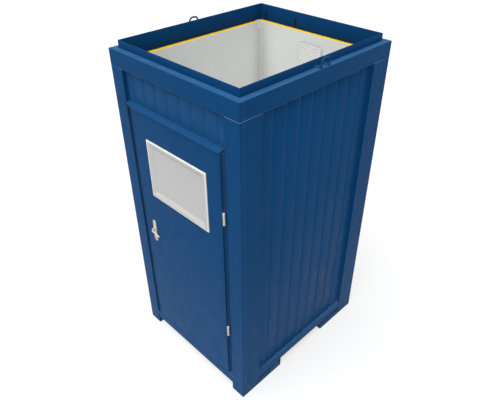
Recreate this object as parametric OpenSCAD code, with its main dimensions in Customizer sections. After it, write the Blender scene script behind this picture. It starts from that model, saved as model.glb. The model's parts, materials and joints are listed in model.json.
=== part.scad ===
// Portable toilet cabin: a steel-framed cabin with one door, a WC, a washbasin and an open roof frame.
// Millimetres. The ground is z = 0 and the door faces -Y; the origin is under the middle of the whole piece.

/* [Cabin] */
// Width over the corner posts
cabin_w = 1200; // [1160:10:1400]
// Depth over the corner posts, from the door side to the back
cabin_d = 1400; // [1360:10:1700]
// Height of the roof frame's flat ledge above the ground
ledge_h = 2490; // [2440:10:2700]
// Height of the thin upstand above that ledge
upstand_h = 50; // [30:5:80]

/* [Steel frame] */
// Width of a corner post on the front and the back
post_w = 120; // [110:2:124]
// Width of a corner post on the sides
post_d = 176; // [150:2:200]
// Thickness of the folded posts
post_wall = 4; // [3:0.5:6]
// Depth from the post faces back to the wall sheets
recess = 27; // [24:1:32]
// Height of the roof frame's outer face
apron_h = 112; // [96:2:130]
// Width of the roof frame's flat ledge
ledge_w = 48; // [44:1:50]
// Thickness of the folded roof frame and its upstand
roof_sheet = 3; // [2:0.5:4]
// Height of the base rails' top above the ground
rail_top = 143; // [138:1:160]
// Height of the sill and the back base rail
sill_h = 66; // [50:1:70]
// Height of the base rails at the sides
side_rail_h = 57; // [50:1:60]
// Depth of the base rails from their outer face
rail_d = 60; // [50:1:64]
// Length of each open skid foot along the side
foot_l = 259; // [200:1:320]

/* [Walls and floor] */
// Total wall thickness, from the post faces to the white lining
wall_t = 82; // [78:1:90]
// Thickness of the white lining boards
lining_t = 10; // [6:1:14]
// Thickness of the painted wall sheets
sheet_t = 1.5; // [1:0.5:2]
// Spacing of the grooves in the side walls
groove_pitch_side = 117; // [100:1:140]
// Spacing of the grooves above the door and in the back wall
groove_pitch_front = 116; // [100:1:140]
// Thickness of the floor deck
deck_t = 18; // [12:1:24]
// Thickness of the floor covering
covering_t = 3; // [2:0.5:5]

/* [Door] */
// Distance between the leaf and the corner post on the hinge side
hinge_room = 30; // [28:1:40]
// Distance between the leaf and the corner post on the latch side
latch_room = 50; // [44:1:60]
// Distance from the roof frame's ledge down to the leaf's upper edge
leaf_drop = 350; // [330:5:400]
// Height of the leaf's lower edge above the ground
leaf_z = 185; // [180:1:200]
// Distance that the leaf's face stands in front of the posts
leaf_proud = 12; // [8:1:16]
// Distance of the window's white frame from the leaf's edge on the latch side
window_in = 154; // [136:1:200]
// Distance of the window's white frame from the leaf's edge on the hinge side
window_out = 129; // [100:1:200]
// Height of the window's white frame
window_h = 445; // [380:1:480]
// Visible width of that frame's border
window_border = 46; // [36:1:56]
// Distance from the leaf's upper edge down to the window's frame
window_drop = 180; // [150:5:240]
// Radius of the hinge knuckles
knuckle_r = 8; // [7:0.5:10]
// Height of each hinge over both knuckles
hinge_h = 90; // [80:2:110]

/* [Handle and lock] */
// Height of the lever above the leaf's lower edge
lever_rise = 1008; // [980:1:1060]
// Length of the lever from its axis
lever_l = 104; // [90:1:115]
// Radius of the lever's grip
lever_r = 6; // [5:0.5:7]
// Distance from the backplate to the lever's middle
lever_out = 33; // [30:1:40]
// Height of the long backplates
plate_h = 193; // [180:1:220]
// Width of the long backplates
plate_w = 35; // [32:1:40]

/* [Fittings] */
// Height of the WC rim above the floor
rim_h = 400; // [380:5:430]
// Projection of the WC from the back wall
pan_l = 650; // [630:5:700]
// Width of the WC bowl
pan_w = 360; // [340:2:380]
// Width of the washbasin along the wall
basin_w = 400; // [360:5:440]
// Projection of the washbasin from the wall
basin_l = 300; // [290:5:330]
// Height of the washbasin's top above the floor
basin_h = 850; // [800:5:900]
// Outer radius of a full paper roll
roll_r = 55; // [45:1:60]
// Width of the square ventilation grille
grille_w = 192; // [160:2:220]
// Outer radius of the soil pipe
soil_r = 55; // [50:1:58]

/* [Hidden] */
$fn = 64;
hull_fn = 32;

// One overrun serves all cuts, and one gap keeps pieces apart that must not rub
over = 1;
free = 0.3;
// Running fit of pins, shafts and sliding cylinders, per side
fit = 0.05;
// Room round pipes and inserts that pass through a sheet or a board
pass = 0.5;
// How much a ball at the corner of a bent rod stands out from it
corner_grow = 0.1;

// Main planes
half_w = cabin_w / 2;
plate_t = 4;
lever_front = leaf_proud + plate_t + lever_out + lever_r;
mid_y = lever_front / 2;
front_y = mid_y - cabin_d / 2;
back_y = mid_y + cabin_d / 2;
apron_z = ledge_h - apron_h;
wall_over = 38;
wall_top = apron_z + wall_over;
post_in = half_w - post_w;
end_plate = 8;
tuck = 20;
lining_x = half_w - wall_t;
lining_front_y = front_y + wall_t;
lining_back_y = back_y - wall_t;
board_in = wall_t - lining_t;

// Wall sheets: a shallow groove with sloping sides
groove_w = 34;
groove_floor = 12;
groove_deep = 5;
foam_in = recess + sheet_t + groove_deep;

// Base and floor
tube_wall = 3;
foot_web = 5;
foot_web_in = 38;
foot_flange = 8;
foot_inner = 56;
joist_h = 55;
joist_w = 60;
joist_pitch = 350;
deck_top = rail_top + deck_t;
floor_z = deck_top + covering_t;

// Door leaf, its rebate and its frame
leaf_x1 = post_in - hinge_room;
leaf_x0 = latch_room - post_in;
leaf_top = ledge_h - leaf_drop;
leaf_y = front_y - leaf_proud;
leaf_sheet = 1.5;
frame_y = front_y + recess;
frame_d = 60;
frame_back = frame_y + frame_d;
seal_t = 2.4;
seal_w = 8;
leaf_back = frame_y - seal_t - free;
rebate_side = 30;
rebate_end = 20;
inner_d = 25;
inner_back = frame_y + inner_d;
inner_x0 = leaf_x0 + rebate_side;
inner_x1 = leaf_x1 - rebate_side;
inner_z0 = leaf_z + rebate_end;
inner_z1 = leaf_top - rebate_end;
door_gap = 5;
latch_gap = 14;
strike_t = 2;
latch_face = inner_x0 - latch_gap - strike_t;
hinge_face = inner_x1 + door_gap;
threshold_z = inner_z0 - door_gap;
head_z = inner_z1 + door_gap;
drip_rise = 23;
head_top = leaf_top + drip_rise;
frame_out = post_in + tuck;

// Drip ledge above the door
drip_t = 3;
drip_out = 20;
drip_fall = 13;
drip_lip = 7;
drip_end = 2;

// Window in the leaf
window_w = leaf_x1 - leaf_x0 - window_in - window_out;
window_x0 = leaf_x0 + window_in;
window_z0 = leaf_top - window_drop - window_h;
window_proud = 8;
window_cover = 14;
pane_t = 4;
pane_in = 11;
pane_grip = 8;

// Hinges: the pin belongs to the frame half
hinge_gap = 6;
hinge_out = 10;
hinge_x = leaf_x1 + knuckle_r + hinge_gap;
hinge_y = front_y - hinge_out;
hinge_low = 450;
hinge_high = 401;
hinge_zs = [leaf_z + hinge_low, leaf_top - hinge_high - hinge_h];
hinge_pin_r = 4.5;
hinge_pin_h = 30;
knuckle_gap = 2;
strap_t = 6;
cap_h = 4;
cap_edge = 0.5;
half_knuckle = (hinge_h - knuckle_gap) / 2;

// Lock
lever_in = 110;
lever_x = leaf_x0 + lever_in;
lever_z = leaf_z + lever_rise;
lever_droop = 10;
lever_bend = 14;
collar_r = 8.5;
collar_l = 20;
plate_drop = 24.5;
plate_z = lever_z - plate_drop;
spindle_w = 8;
spindle_play = 0.1;
hub_r = 10;
cylinder_drop = 72;
cylinder_z = lever_z - cylinder_drop;
cylinder_r = 8.5;
cylinder_leg = 10;
cylinder_h = 33;
case_y = (leaf_back + inner_back) / 2;
case_t = 16;
case_sheet = 1.5;
case_l = 115;
case_below = 55;
case_above = 45;
case_z0 = cylinder_z - case_below;
case_z1 = lever_z + case_above;
face_t = 3;
face_w = 20;
face_over = 24;
latch_throw = 12;
latch_w = 11;
latch_h = 26;
latch_rise = 13;
latch_z = lever_z + latch_rise;
tail_t = 4;
tail_h = 8;
tail_l = 92;
hook_w = 5;
hook_h = 16;
arm_w = 6;
arm_h = 19;
bolt_w = 12;
bolt_h = 24;
bolt_l = 55;
cylinder_proud = 1;
turn_r = 4;
turn_in = 12;
turn_knob_r = 14;
turn_knob_t = 5;
turn_wing_w = 6;
turn_wing_l = 18;
cut_w = 27;
cut_h = 150;

// WC
rim_z = floor_z + rim_h;
pan_y0 = lining_back_y - pan_l;
pan_clear = 18;
pan_back = lining_back_y - pan_clear;
rim_t = 40;
rim_w = 48;
pan_waist_w = 230;
pan_waist_h = 220;
pan_foot_w = 250;
pan_foot_in = 110;
pan_foot_back = 40;
bowl_floor_r = 50;
bowl_h = 190;
bowl_floor_in = 210;
deck_w = 300;
cistern_w = 380;
cistern_d = 150;
cistern_h = 360;
cistern_wall = 8;
cistern_r = 30;
cistern_y0 = lining_back_y - cistern_d;
cistern_lid_t = 18;
cistern_lid_over = 4;
button_r = 20;
button_h = 22;
button_up = 4;
button_rod_r = 3;
button_rod_l = 72;
seat_axis_in = 58;
seat_axis_y = cistern_y0 - seat_axis_in;
seat_t = 18;
seat_under = 2;
seat_axis_up = 1;
seat_axis_z = rim_z + seat_under + seat_t + seat_axis_up;
seat_hole_w = 225;
seat_pad_r = 8;
lid_t = 14;
lid_over = 1;
lid_open = 96;
seat_back = 14;
lug_r = 10;
lug_w = 12;
lug_reach = 16;
seat_pin_r = 5;
seat_post_x = 70;
seat_post_w = 10;
lug_gap = 2;
spigot_r = 48;
spigot_l = 40;
soil_wall = 4;
soil_rise = 180;
soil_z = floor_z + soil_rise;
pipe_lap = 25;
soil_x = 0;
stub_out = 22;
soil_collar_r = 68;
soil_collar_t = 2;
water_collar_r = 15;
water_collar_t = 4;
water_r = 8;
water_x = 230;
water_rise = 456;
water_in = 58;
water_z = floor_z + water_rise;
water_y = lining_back_y - water_in;

// Washbasin, tap and trap
basin_aft = 288;
basin_y = lining_front_y + basin_aft;
basin_top = floor_z + basin_h;
basin_t = 120;
basin_r = 40;
basin_under_w = 220;
basin_under_l = 200;
bowl_r = 110;
bowl_deep = 92;
bowl_floor = 45;
bowl_in = 175;
bowl_low_shares = [0.83, 0.62];
bowl_high_shares = [0.96, 0.28];
drain_r = 20;
tap_in = 32;
tap_r = 20;
tap_h = 85;
tap_hole_r = 14;
spout_r = 9;
spout_l = 95;
spout_z = 52;
spout_rise = 14;
spout_drop = 16;
tap_stem_r = 8;
tap_stem_h = 20;
tap_cap_h = 22;
tap_arm_l = 70;
tap_arm_r = 6;
trap_r = 16;
trap_drop = 95;
bottle_r = 30;
bottle_h = 80;
trap_out_z = 30;
mirror_w = 380;
mirror_h = 480;
mirror_t = 4;
mirror_rise = 350;
mirror_z = basin_top + mirror_rise;

// Ventilation
grille_t = 20;
grille_wall = 3;
grille_drop = 76;
grille_margin = 9;
grille_top = wall_top - grille_drop;
grille_slot = 8;
grille_slats = 11;
duct_r = 52;
duct_wall = 2;
duct_z = grille_top - grille_w / 2;
motor_r = 18;
motor_l = 26;
motor_in = 58;
motor_y = back_y - motor_in;
shaft_r = 3;
shaft_l = 18;
spider_arms = 3;
spider_w = 6;
spider_t = 4;
fan_hub_r = 14;
fan_hub_l = 12;
fan_blades = 7;
fan_tip = 1.5;
blade_t = 2;
blade_w = 13;
blade_tilt = 35;
cowl_r = 66;
cowl_out = 22;
cowl_t = 2;

// Paper roll
roll_w = 100;
roll_core_r = 20;
roll_fore = 468;
roll_rise = 700;
roll_y = lining_back_y - roll_fore;
roll_z = floor_z + roll_rise;
roll_in = 68;
holder_t = 4;
holder_plate_h = 60;
arm_gap = 3;
roller_pin_r = 5;

// Lifting eyes of bent rod
eye_r = 6;
eye_bend = 10;
eye_in = 8;
eye_x = half_w - eye_in;
eye_half = 38;
eye_top_half = 20;
eye_shoulder = 40;
eye_top = 58;
bend_steps = 4;
rod_sides = 12;

// Cable outlet in the wall and the slots in the roof frame
outlet_in = 55;
outlet_w = 37;
outlet_end = 3;
outlet_h = 47;
outlet_up = 6;
outlet_wall = 2;
slot_w = 10;
slot_t = 2;
slot_rise = 8;
slot_over = 2;
slot_z0 = wall_top + slot_rise;
slot_z1 = ledge_h + slot_over;
slot_ins = [110, 410];

paint = [0.11, 0.28, 0.48];
white = [0.87, 0.87, 0.88];
china = [0.96, 0.96, 0.95];
cream = [0.84, 0.80, 0.74];
steel = [0.72, 0.73, 0.75];
yellow = [1.0, 0.80, 0.0];
black = [0.08, 0.11, 0.12];

// A box between two opposite corners
module block(a, b) {
    translate(a) cube(b - a);
}

// A cylinder that starts at a point and runs along X, Y or Z
module bar_x(p, r, l) {
    translate(p) rotate([0, 90, 0]) cylinder(r = r, h = l);
}
module bar_y(p, r, l) {
    translate(p) rotate([-90, 0, 0]) cylinder(r = r, h = l);
}
module bar_z(p, r, l) {
    translate(p) cylinder(r = r, h = l);
}

// A round rod through a list of points, with a ball a little larger than the rod at each corner
module rod_path(points, r) {
    for (i = [0 : len(points) - 2]) {
        step = points[i + 1] - points[i];
        run = norm(step);
        translate(points[i])
            rotate([0, acos(step[2] / run), atan2(step[1], step[0])])
                cylinder(r = r, h = run);
    }
    for (i = [1 : len(points) - 2]) translate(points[i]) sphere(r = r + corner_grow);
}

// A bent rod swept along a path: its corners are rounded, and each ring of points turns as little as it can
function unit(v) = v / norm(v);
function rounded_path(points, bend, steps) = [for (i = [0 : len(points) - 1])
    if (i == 0 || i == len(points) - 1) points[i]
    else for (k = [0 : steps])
        let (p = points[i] + unit(points[i - 1] - points[i]) * bend,
            q = points[i] + unit(points[i + 1] - points[i]) * bend,
            s = k / steps)
        p * pow(1 - s, 2) + points[i] * 2 * s * (1 - s) + q * pow(s, 2)];
function path_ways(path) = [for (i = [0 : len(path) - 1])
    unit(path[min(i + 1, len(path) - 1)] - path[max(i - 1, 0)])];
function ring_starts(ways, i, e) = i == len(ways) ? [] :
    let (f = unit(e - ways[i] * (e * ways[i]))) concat([f], ring_starts(ways, i + 1, f));
module bent_rod(points, r, bend, first_side) {
    sides = rod_sides;
    path = rounded_path(points, bend, bend_steps);
    ways = path_ways(path);
    starts = ring_starts(ways, 0, first_side);
    rings = [for (i = [0 : len(path) - 1]) for (j = [0 : sides - 1])
        let (a = 360 * j / sides)
        path[i] + (starts[i] * cos(a) + cross(ways[i], starts[i]) * sin(a)) * r];
    last = len(rings) - sides;
    polyhedron(rings, concat(
        [[for (j = [0 : sides - 1]) j]],
        [[for (j = [sides - 1 : -1 : 0]) last + j]],
        [for (i = [0 : sides : last - sides]) for (j = [0 : sides - 1])
            let (k = (j + 1) % sides)
            each [[i + j, i + sides + j, i + k], [i + k, i + sides + j, i + sides + k]]]));
}

// The same piece on both sides, and at the front and the back
module both_sides() {
    children();
    mirror([1, 0, 0]) children();
}
module at_back() {
    translate([0, 2 * mid_y, 0]) mirror([0, 1, 0]) children();
}
module both_ends() {
    children();
    at_back() children();
}

// Outline of the cabin, a given distance in from the post faces
module footprint(inset) {
    translate([inset - half_w, front_y + inset])
        square([cabin_w - 2 * inset, cabin_d - 2 * inset]);
}
module footprint_ring(inset, t) {
    difference() {
        footprint(inset);
        footprint(inset + t);
    }
}

// A closed rectangular tube, given by its outer corners
module tube(a, b, t) {
    difference() {
        block(a, b);
        block(a + [t, t, t], b - [t, t, t]);
    }
}

// Frame posts, rails and feet

// One folded corner post, drawn from its outer corner with returns that reach back to the wall sheets
module corner_post() {
    plan = [[0, 0], [post_w, 0], [post_w, recess], [post_w - post_wall, recess],
        [post_w - post_wall, post_wall], [post_wall, post_wall], [post_wall, post_d - post_wall],
        [recess, post_d - post_wall], [recess, post_d], [0, post_d]];
    head_plan = [[0, 0], [post_w, 0], [post_w, recess], [recess, recess], [recess, post_d], [0, post_d]];
    translate([half_w, front_y, 0]) mirror([1, 0, 0]) {
        linear_extrude(apron_z) polygon(plan);
        cube([post_w, post_d, end_plate]);
        translate([0, 0, apron_z - end_plate]) linear_extrude(end_plate) polygon(head_plan);
    }
}
module posts_front() {
    color(paint) both_sides() corner_post();
}
module posts_back() {
    color(paint) at_back() both_sides() corner_post();
}

module end_rail() {
    tube([-post_in, front_y, rail_top - sill_h], [post_in, front_y + rail_d, rail_top], tube_wall);
}
module sill_front() {
    color(paint) end_rail();
}
module base_rail_back() {
    color(paint) at_back() end_rail();
}
module base_rails_side() {
    color(paint) both_sides()
        tube([half_w - rail_d, front_y + post_d, rail_top - side_rail_h],
            [half_w, back_y - post_d, rail_top], tube_wall);
}

// An open channel under each end of each side rail; the gap between them takes the forks of a truck
module skid_foot() {
    foot_y0 = front_y + post_d;
    foot_y1 = foot_y0 + foot_l;
    foot_top = rail_top - side_rail_h;
    web_x = half_w - foot_web_in - foot_web;
    block([web_x, foot_y0, 0], [web_x + foot_web, foot_y1, foot_top]);
    block([half_w - foot_inner, foot_y0, 0], [half_w, foot_y1, foot_flange]);
    block([web_x, foot_y1 - foot_web, 0], [half_w, foot_y1, foot_top]);
}
module skid_feet() {
    color(paint) both_ends() both_sides() skid_foot();
}

module floor_joists() {
    color(paint) for (i = [-1 : 1]) {
        joist_y = mid_y + i * joist_pitch;
        tube([rail_d - half_w, joist_y - joist_w / 2, rail_top - joist_h],
            [half_w - rail_d, joist_y + joist_w / 2, rail_top], tube_wall);
    }
}

// The space that the door frame takes out of the front wall and the floor
module door_frame_space() {
    block([-frame_out, front_y, 0], [frame_out, frame_back, head_top]);
}
module floor_deck() {
    color([0.55, 0.44, 0.30]) difference() {
        translate([0, 0, rail_top]) linear_extrude(deck_t) footprint(foam_in);
        door_frame_space();
    }
}
module floor_covering() {
    color([0.45, 0.47, 0.48])
        block([-lining_x, frame_back, deck_top], [lining_x, lining_back_y, floor_z]);
}

// Folded roof rail: outer face, flat ledge, inner leg on the wall, and a lip back to the wall sheet
module rail_profile() {
    polygon([[0, apron_z], [recess, apron_z], [recess, apron_z + roof_sheet],
        [roof_sheet, apron_z + roof_sheet], [roof_sheet, ledge_h - roof_sheet],
        [ledge_w - roof_sheet, ledge_h - roof_sheet], [ledge_w - roof_sheet, wall_top],
        [ledge_w, wall_top], [ledge_w, ledge_h], [0, ledge_h]]);
}
module roof_rails_end() {
    color(paint) both_ends() intersection() {
        translate([0, front_y, 0]) rotate([90, 0, 90])
            linear_extrude(cabin_w, center = true) rail_profile();
        linear_extrude(ledge_h + over)
            polygon([[-half_w, front_y], [half_w, front_y], [half_w - ledge_w, front_y + ledge_w],
                [ledge_w - half_w, front_y + ledge_w]]);
    }
}
module roof_rails_side() {
    color(paint) both_sides() intersection() {
        translate([half_w, mid_y, 0]) mirror([1, 0, 0]) rotate([90, 0, 0])
            linear_extrude(cabin_d, center = true) rail_profile();
        linear_extrude(ledge_h + over)
            polygon([[half_w, front_y], [half_w, back_y], [half_w - ledge_w, back_y - ledge_w],
                [half_w - ledge_w, front_y + ledge_w]]);
    }
}
module roof_upstand() {
    color(paint) translate([0, 0, wall_top])
        linear_extrude(ledge_h + upstand_h - wall_top) footprint_ring(ledge_w, roof_sheet);
}

// Lifting eyes: bent rod with its feet along the ledge, welded to the upstand
module lifting_eyes() {
    foot_x = half_w - ledge_w;
    half_loop = [[foot_x, eye_half, eye_r], [eye_x, eye_half, eye_r], [eye_x, eye_half, eye_shoulder],
        [eye_x, eye_top_half, eye_top]];
    loop = concat(half_loop, [for (i = [len(half_loop) - 1 : -1 : 0])
        [half_loop[i][0], -half_loop[i][1], half_loop[i][2]]]);
    color(paint) both_sides() translate([0, mid_y, ledge_h]) bent_rod(loop, eye_r, eye_bend, [0, 1, 0]);
}

// Walls

// Section of a wall sheet along its length, with grooves pressed inwards
module grooved_section(length, opening, pitch) {
    count = floor(opening / pitch);
    places = [for (i = [0 : count - 1]) (i - (count - 1) / 2) * pitch];
    groove = [[-groove_w, 0], [-groove_floor, groove_deep], [groove_floor, groove_deep], [groove_w, 0]];
    face = [for (p = places) for (g = groove) [p + g[0] / 2, g[1]]];
    rear = [for (i = [len(face) - 1 : -1 : 0]) face[i] + [0, sheet_t]];
    polygon(concat([[-length / 2, 0]], face, [[length / 2, 0], [length / 2, sheet_t]], rear,
        [[-length / 2, sheet_t]]));
}
// Round holes for everything that passes through the back wall
module back_wall_holes(room) {
    bar_y([0, lining_back_y - over, duct_z], duct_r + room, wall_t + 2 * over);
    bar_y([soil_x, lining_back_y - over, soil_z], soil_r + room, wall_t + 2 * over);
    bar_y([water_x, lining_back_y - over, water_z], water_r + room, wall_t + 2 * over);
}
// The pocket for the cable outlet at the top of the left wall, by the back corner
module outlet_pocket() {
    y1 = lining_back_y - outlet_end;
    block([outlet_in - half_w, y1 - outlet_w, wall_top - outlet_h], [-lining_x + over, y1, wall_top + over]);
}

module skin_sides() {
    opening = cabin_d - 2 * post_d;
    color(paint) both_sides() translate([half_w - recess, mid_y, rail_top]) rotate([0, 0, 90])
        linear_extrude(wall_top - rail_top)
            grooved_section(opening + 2 * tuck, opening, groove_pitch_side);
}
module skin_back() {
    color(paint) difference() {
        at_back() translate([0, frame_y, rail_top]) linear_extrude(wall_top - rail_top)
            grooved_section(2 * frame_out, 2 * post_in, groove_pitch_front);
        back_wall_holes(pass);
    }
}
module skin_front() {
    color(paint) translate([0, frame_y, head_top]) linear_extrude(wall_top - head_top)
        grooved_section(2 * frame_out, 2 * post_in, groove_pitch_front);
}
module wall_insulation() {
    color(yellow) difference() {
        translate([0, 0, deck_top]) linear_extrude(wall_top - deck_top)
            footprint_ring(foam_in, board_in - foam_in);
        door_frame_space();
        back_wall_holes(pass);
        outlet_pocket();
    }
}
module lining_sides() {
    color(white) difference() {
        both_sides() block([lining_x, lining_front_y, deck_top],
            [lining_x + lining_t, lining_back_y, wall_top]);
        outlet_pocket();
    }
}
module end_lining() {
    block([-lining_x - lining_t, lining_front_y - lining_t, deck_top],
        [lining_x + lining_t, lining_front_y, wall_top]);
}
module lining_back() {
    color(white) difference() {
        at_back() end_lining();
        back_wall_holes(pass);
    }
}
module lining_front() {
    color(white) difference() {
        end_lining();
        door_frame_space();
    }
}

// Door frame and its ledge

// Openings in the latch side for the latch and the dead bolt
module bolt_mouths(x0, x1, room) {
    for (m = [[latch_z, latch_h, latch_w], [cylinder_z, bolt_h, bolt_w]])
        block([x0, case_y - m[2] / 2 - room, m[0] - m[1] / 2 - room],
            [x1, case_y + m[2] / 2 + room, m[0] + m[1] / 2 + room]);
}
module door_frame() {
    color(paint) difference() {
        block([-frame_out, frame_y, rail_top], [frame_out, frame_back, head_top]);
        block([latch_face, frame_y - over, threshold_z], [hinge_face, frame_back + over, head_z]);
        // The members are folded steel and hollow
        difference() {
            block([tube_wall - frame_out, frame_y + tube_wall, rail_top + tube_wall],
                [frame_out - tube_wall, frame_back - tube_wall, head_top - tube_wall]);
            block([latch_face - tube_wall, frame_y, threshold_z - tube_wall],
                [hinge_face + tube_wall, frame_back, head_z + tube_wall]);
        }
        bolt_mouths(latch_face - tube_wall - over, latch_face + over, over + pass);
    }
}
module strike_plate() {
    color(steel) difference() {
        block([latch_face, case_y - face_w / 2, case_z0 - face_over],
            [latch_face + strike_t, case_y + face_w / 2, case_z1 + face_over]);
        bolt_mouths(latch_face - over, latch_face + strike_t + over, over);
    }
}
module drip_ledge() {
    drip_y = front_y - drip_out;
    color(paint) translate([-post_in + drip_end, 0, 0]) rotate([90, 0, 90])
        linear_extrude(post_in + leaf_x1)
            polygon([[frame_y, head_top - drip_t], [frame_y, head_top],
                [drip_y, head_top - drip_fall], [drip_y, head_top - drip_fall - drip_lip],
                [drip_y + drip_t, head_top - drip_fall - drip_lip],
                [drip_y + drip_t, head_top - drip_fall - drip_t]]);
}

// Door leaf

// The window's outline, drawn in by a distance all round, between two depths
module window_block(inset, y0, y1) {
    block([window_x0 + inset, y0, window_z0 + inset],
        [window_x0 + window_w - inset, y1, window_z0 + window_h - inset]);
}
// Hole in both sheets for the spindle and the lock cylinder, hidden behind the backplates
module handle_hole() {
    block([lever_x - cut_w / 2, leaf_y - over, plate_z - cut_h / 2],
        [lever_x + cut_w / 2, inner_back + over, plate_z + cut_h / 2]);
}
module window_hole() {
    window_block(window_cover - pass, leaf_y - over, inner_back + over);
}
module door_skin_outer() {
    color(paint) difference() {
        block([leaf_x0, leaf_y, leaf_z], [leaf_x1, leaf_back, leaf_top]);
        block([leaf_x0 + leaf_sheet, leaf_y + leaf_sheet, leaf_z + leaf_sheet],
            [leaf_x1 - leaf_sheet, leaf_back + over, leaf_top - leaf_sheet]);
        window_hole();
        handle_hole();
    }
}
module door_skin_inner() {
    color(paint) difference() {
        union() {
            block([leaf_x0 + leaf_sheet, leaf_back - leaf_sheet, leaf_z + leaf_sheet],
                [leaf_x1 - leaf_sheet, leaf_back, leaf_top - leaf_sheet]);
            block([inner_x0, leaf_back - leaf_sheet, inner_z0], [inner_x1, inner_back, inner_z1]);
        }
        block([inner_x0 + leaf_sheet, leaf_back - leaf_sheet - over, inner_z0 + leaf_sheet],
            [inner_x1 - leaf_sheet, inner_back - leaf_sheet, inner_z1 - leaf_sheet]);
        window_hole();
        handle_hole();
        lock_space(free);
    }
}
module door_core() {
    color(yellow) difference() {
        union() {
            block([leaf_x0 + leaf_sheet, leaf_y + leaf_sheet, leaf_z + leaf_sheet],
                [leaf_x1 - leaf_sheet, leaf_back - leaf_sheet, leaf_top - leaf_sheet]);
            block([inner_x0 + leaf_sheet, leaf_back - leaf_sheet, inner_z0 + leaf_sheet],
                [inner_x1 - leaf_sheet, inner_back - leaf_sheet, inner_z1 - leaf_sheet]);
        }
        window_hole();
        handle_hole();
        lock_space(free);
    }
}
// Rubber strip round the rebate, glued to the leaf and closing on the frame
module door_seal() {
    inner = [inner_x0, inner_x1, inner_z0, inner_z1];
    color(black) difference() {
        block([latch_face - seal_w, leaf_back, threshold_z - seal_w],
            [hinge_face + seal_w, leaf_back + seal_t, head_z + seal_w]);
        block([inner[0] - free, leaf_back - over, inner[2] - free],
            [inner[1] + free, leaf_back + seal_t + over, inner[3] + free]);
    }
}
module window_frame() {
    face_y = leaf_y - window_proud;
    color(white) difference() {
        union() {
            window_block(0, face_y, leaf_y);
            window_block(window_cover, leaf_y - over, inner_back + over);
            window_block(0, inner_back, inner_back + window_proud);
        }
        window_block(window_border, face_y - over, inner_back + window_proud + over);
        window_block(window_border - pane_grip, face_y + pane_in, face_y + pane_in + pane_t);
    }
}
module window_pane() {
    pane_y = leaf_y - window_proud + pane_in;
    color([0.77, 0.78, 0.78]) window_block(window_border - pane_grip, pane_y, pane_y + pane_t);
}

// Lift-off hinges: lower knuckle with its pin on the frame, upper knuckle on the leaf
module at_hinges() {
    for (z = hinge_zs) translate([hinge_x, hinge_y, z]) children();
}
module hinge_frame_halves() {
    color(cream) at_hinges() {
        cylinder(r = knuckle_r, h = half_knuckle);
        cylinder(r = hinge_pin_r, h = half_knuckle + knuckle_gap + hinge_pin_h);
        block([-strap_t / 2, 0, 0], [strap_t / 2, frame_y - hinge_y, half_knuckle]);
    }
}
module hinge_door_halves() {
    dome = cap_h - cap_edge;
    cap_r = (pow(knuckle_r, 2) + pow(dome, 2)) / (2 * dome);
    color(cream) at_hinges() translate([0, 0, half_knuckle + knuckle_gap]) {
        difference() {
            union() {
                cylinder(r = knuckle_r, h = half_knuckle);
                block([leaf_x1 - hinge_x, leaf_y - hinge_y, 0],
                    [0, leaf_y - hinge_y + strap_t, half_knuckle]);
            }
            translate([0, 0, -over])
                cylinder(r = hinge_pin_r + fit, h = hinge_pin_h + knuckle_gap + over);
        }
        intersection() {
            translate([0, 0, half_knuckle]) cylinder(r = knuckle_r, h = cap_h);
            translate([0, 0, half_knuckle + cap_h - cap_r]) sphere(r = cap_r);
        }
    }
}

// Lock and handles

// The room that the lock case and its face plate take up in the leaf's edge
module lock_space(room) {
    block([inner_x0 + face_t, case_y - case_t / 2 - room, case_z0 - room],
        [inner_x0 + face_t + case_l + room, case_y + case_t / 2 + room, case_z1 + room]);
    block([inner_x0 - over, case_y - face_w / 2 - room, case_z0 - face_over - room],
        [inner_x0 + face_t, case_y + face_w / 2 + room, case_z1 + face_over + room]);
}
module lock_case() {
    case_x0 = inner_x0 + face_t;
    inside = case_t / 2 - case_sheet;
    color(steel) difference() {
        union() {
            block([case_x0, case_y - case_t / 2, case_z0],
                [case_x0 + case_l, case_y + case_t / 2, case_z1]);
            block([inner_x0, case_y - face_w / 2, case_z0 - face_over],
                [case_x0, case_y + face_w / 2, case_z1 + face_over]);
        }
        block([case_x0 + case_sheet, case_y - inside, case_z0 + case_sheet],
            [case_x0 + case_l - case_sheet, case_y + inside, case_z1 - case_sheet]);
        bolt_mouths(inner_x0 - over, case_x0 + case_sheet + over, free);
        bar_y([lever_x, case_y - case_t, lever_z], hub_r + fit, 2 * case_t);
        cylinder_profile(case_y - case_t, case_y + case_t, free);
    }
}
// The lock cylinder's outline: a round barrel with a leg below it
module cylinder_profile(y0, y1, room) {
    bar_y([lever_x, y0, cylinder_z], cylinder_r + room, y1 - y0);
    foot_z = cylinder_z + cylinder_r - cylinder_h;
    block([lever_x - cylinder_leg / 2 - room, y0, foot_z - room],
        [lever_x + cylinder_leg / 2 + room, y1, cylinder_z]);
}
module lock_cylinder() {
    end_y = inner_back + plate_t + cylinder_proud;
    color([0.75, 0.66, 0.40]) difference() {
        cylinder_profile(leaf_y - plate_t - cylinder_proud, end_y, 0);
        bar_y([lever_x, end_y - turn_in, cylinder_z], turn_r + fit, turn_in + over);
    }
}
// A long plate with round ends, bored for the lever and the lock cylinder
module backplate(y) {
    end_r = plate_w / 2;
    difference() {
        union() {
            for (s = [-1, 1]) bar_y([lever_x, y, plate_z + s * (plate_h / 2 - end_r)], end_r, plate_t);
            block([lever_x - end_r, y, plate_z - plate_h / 2 + end_r],
                [lever_x + end_r, y + plate_t, plate_z + plate_h / 2 - end_r]);
        }
        bar_y([lever_x, y - over, lever_z], collar_r + fit, plate_t + 2 * over);
        cylinder_profile(y - over, y + plate_t + over, free);
    }
}
module backplates() {
    color(cream) {
        backplate(leaf_y - plate_t);
        backplate(inner_back);
    }
}
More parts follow.
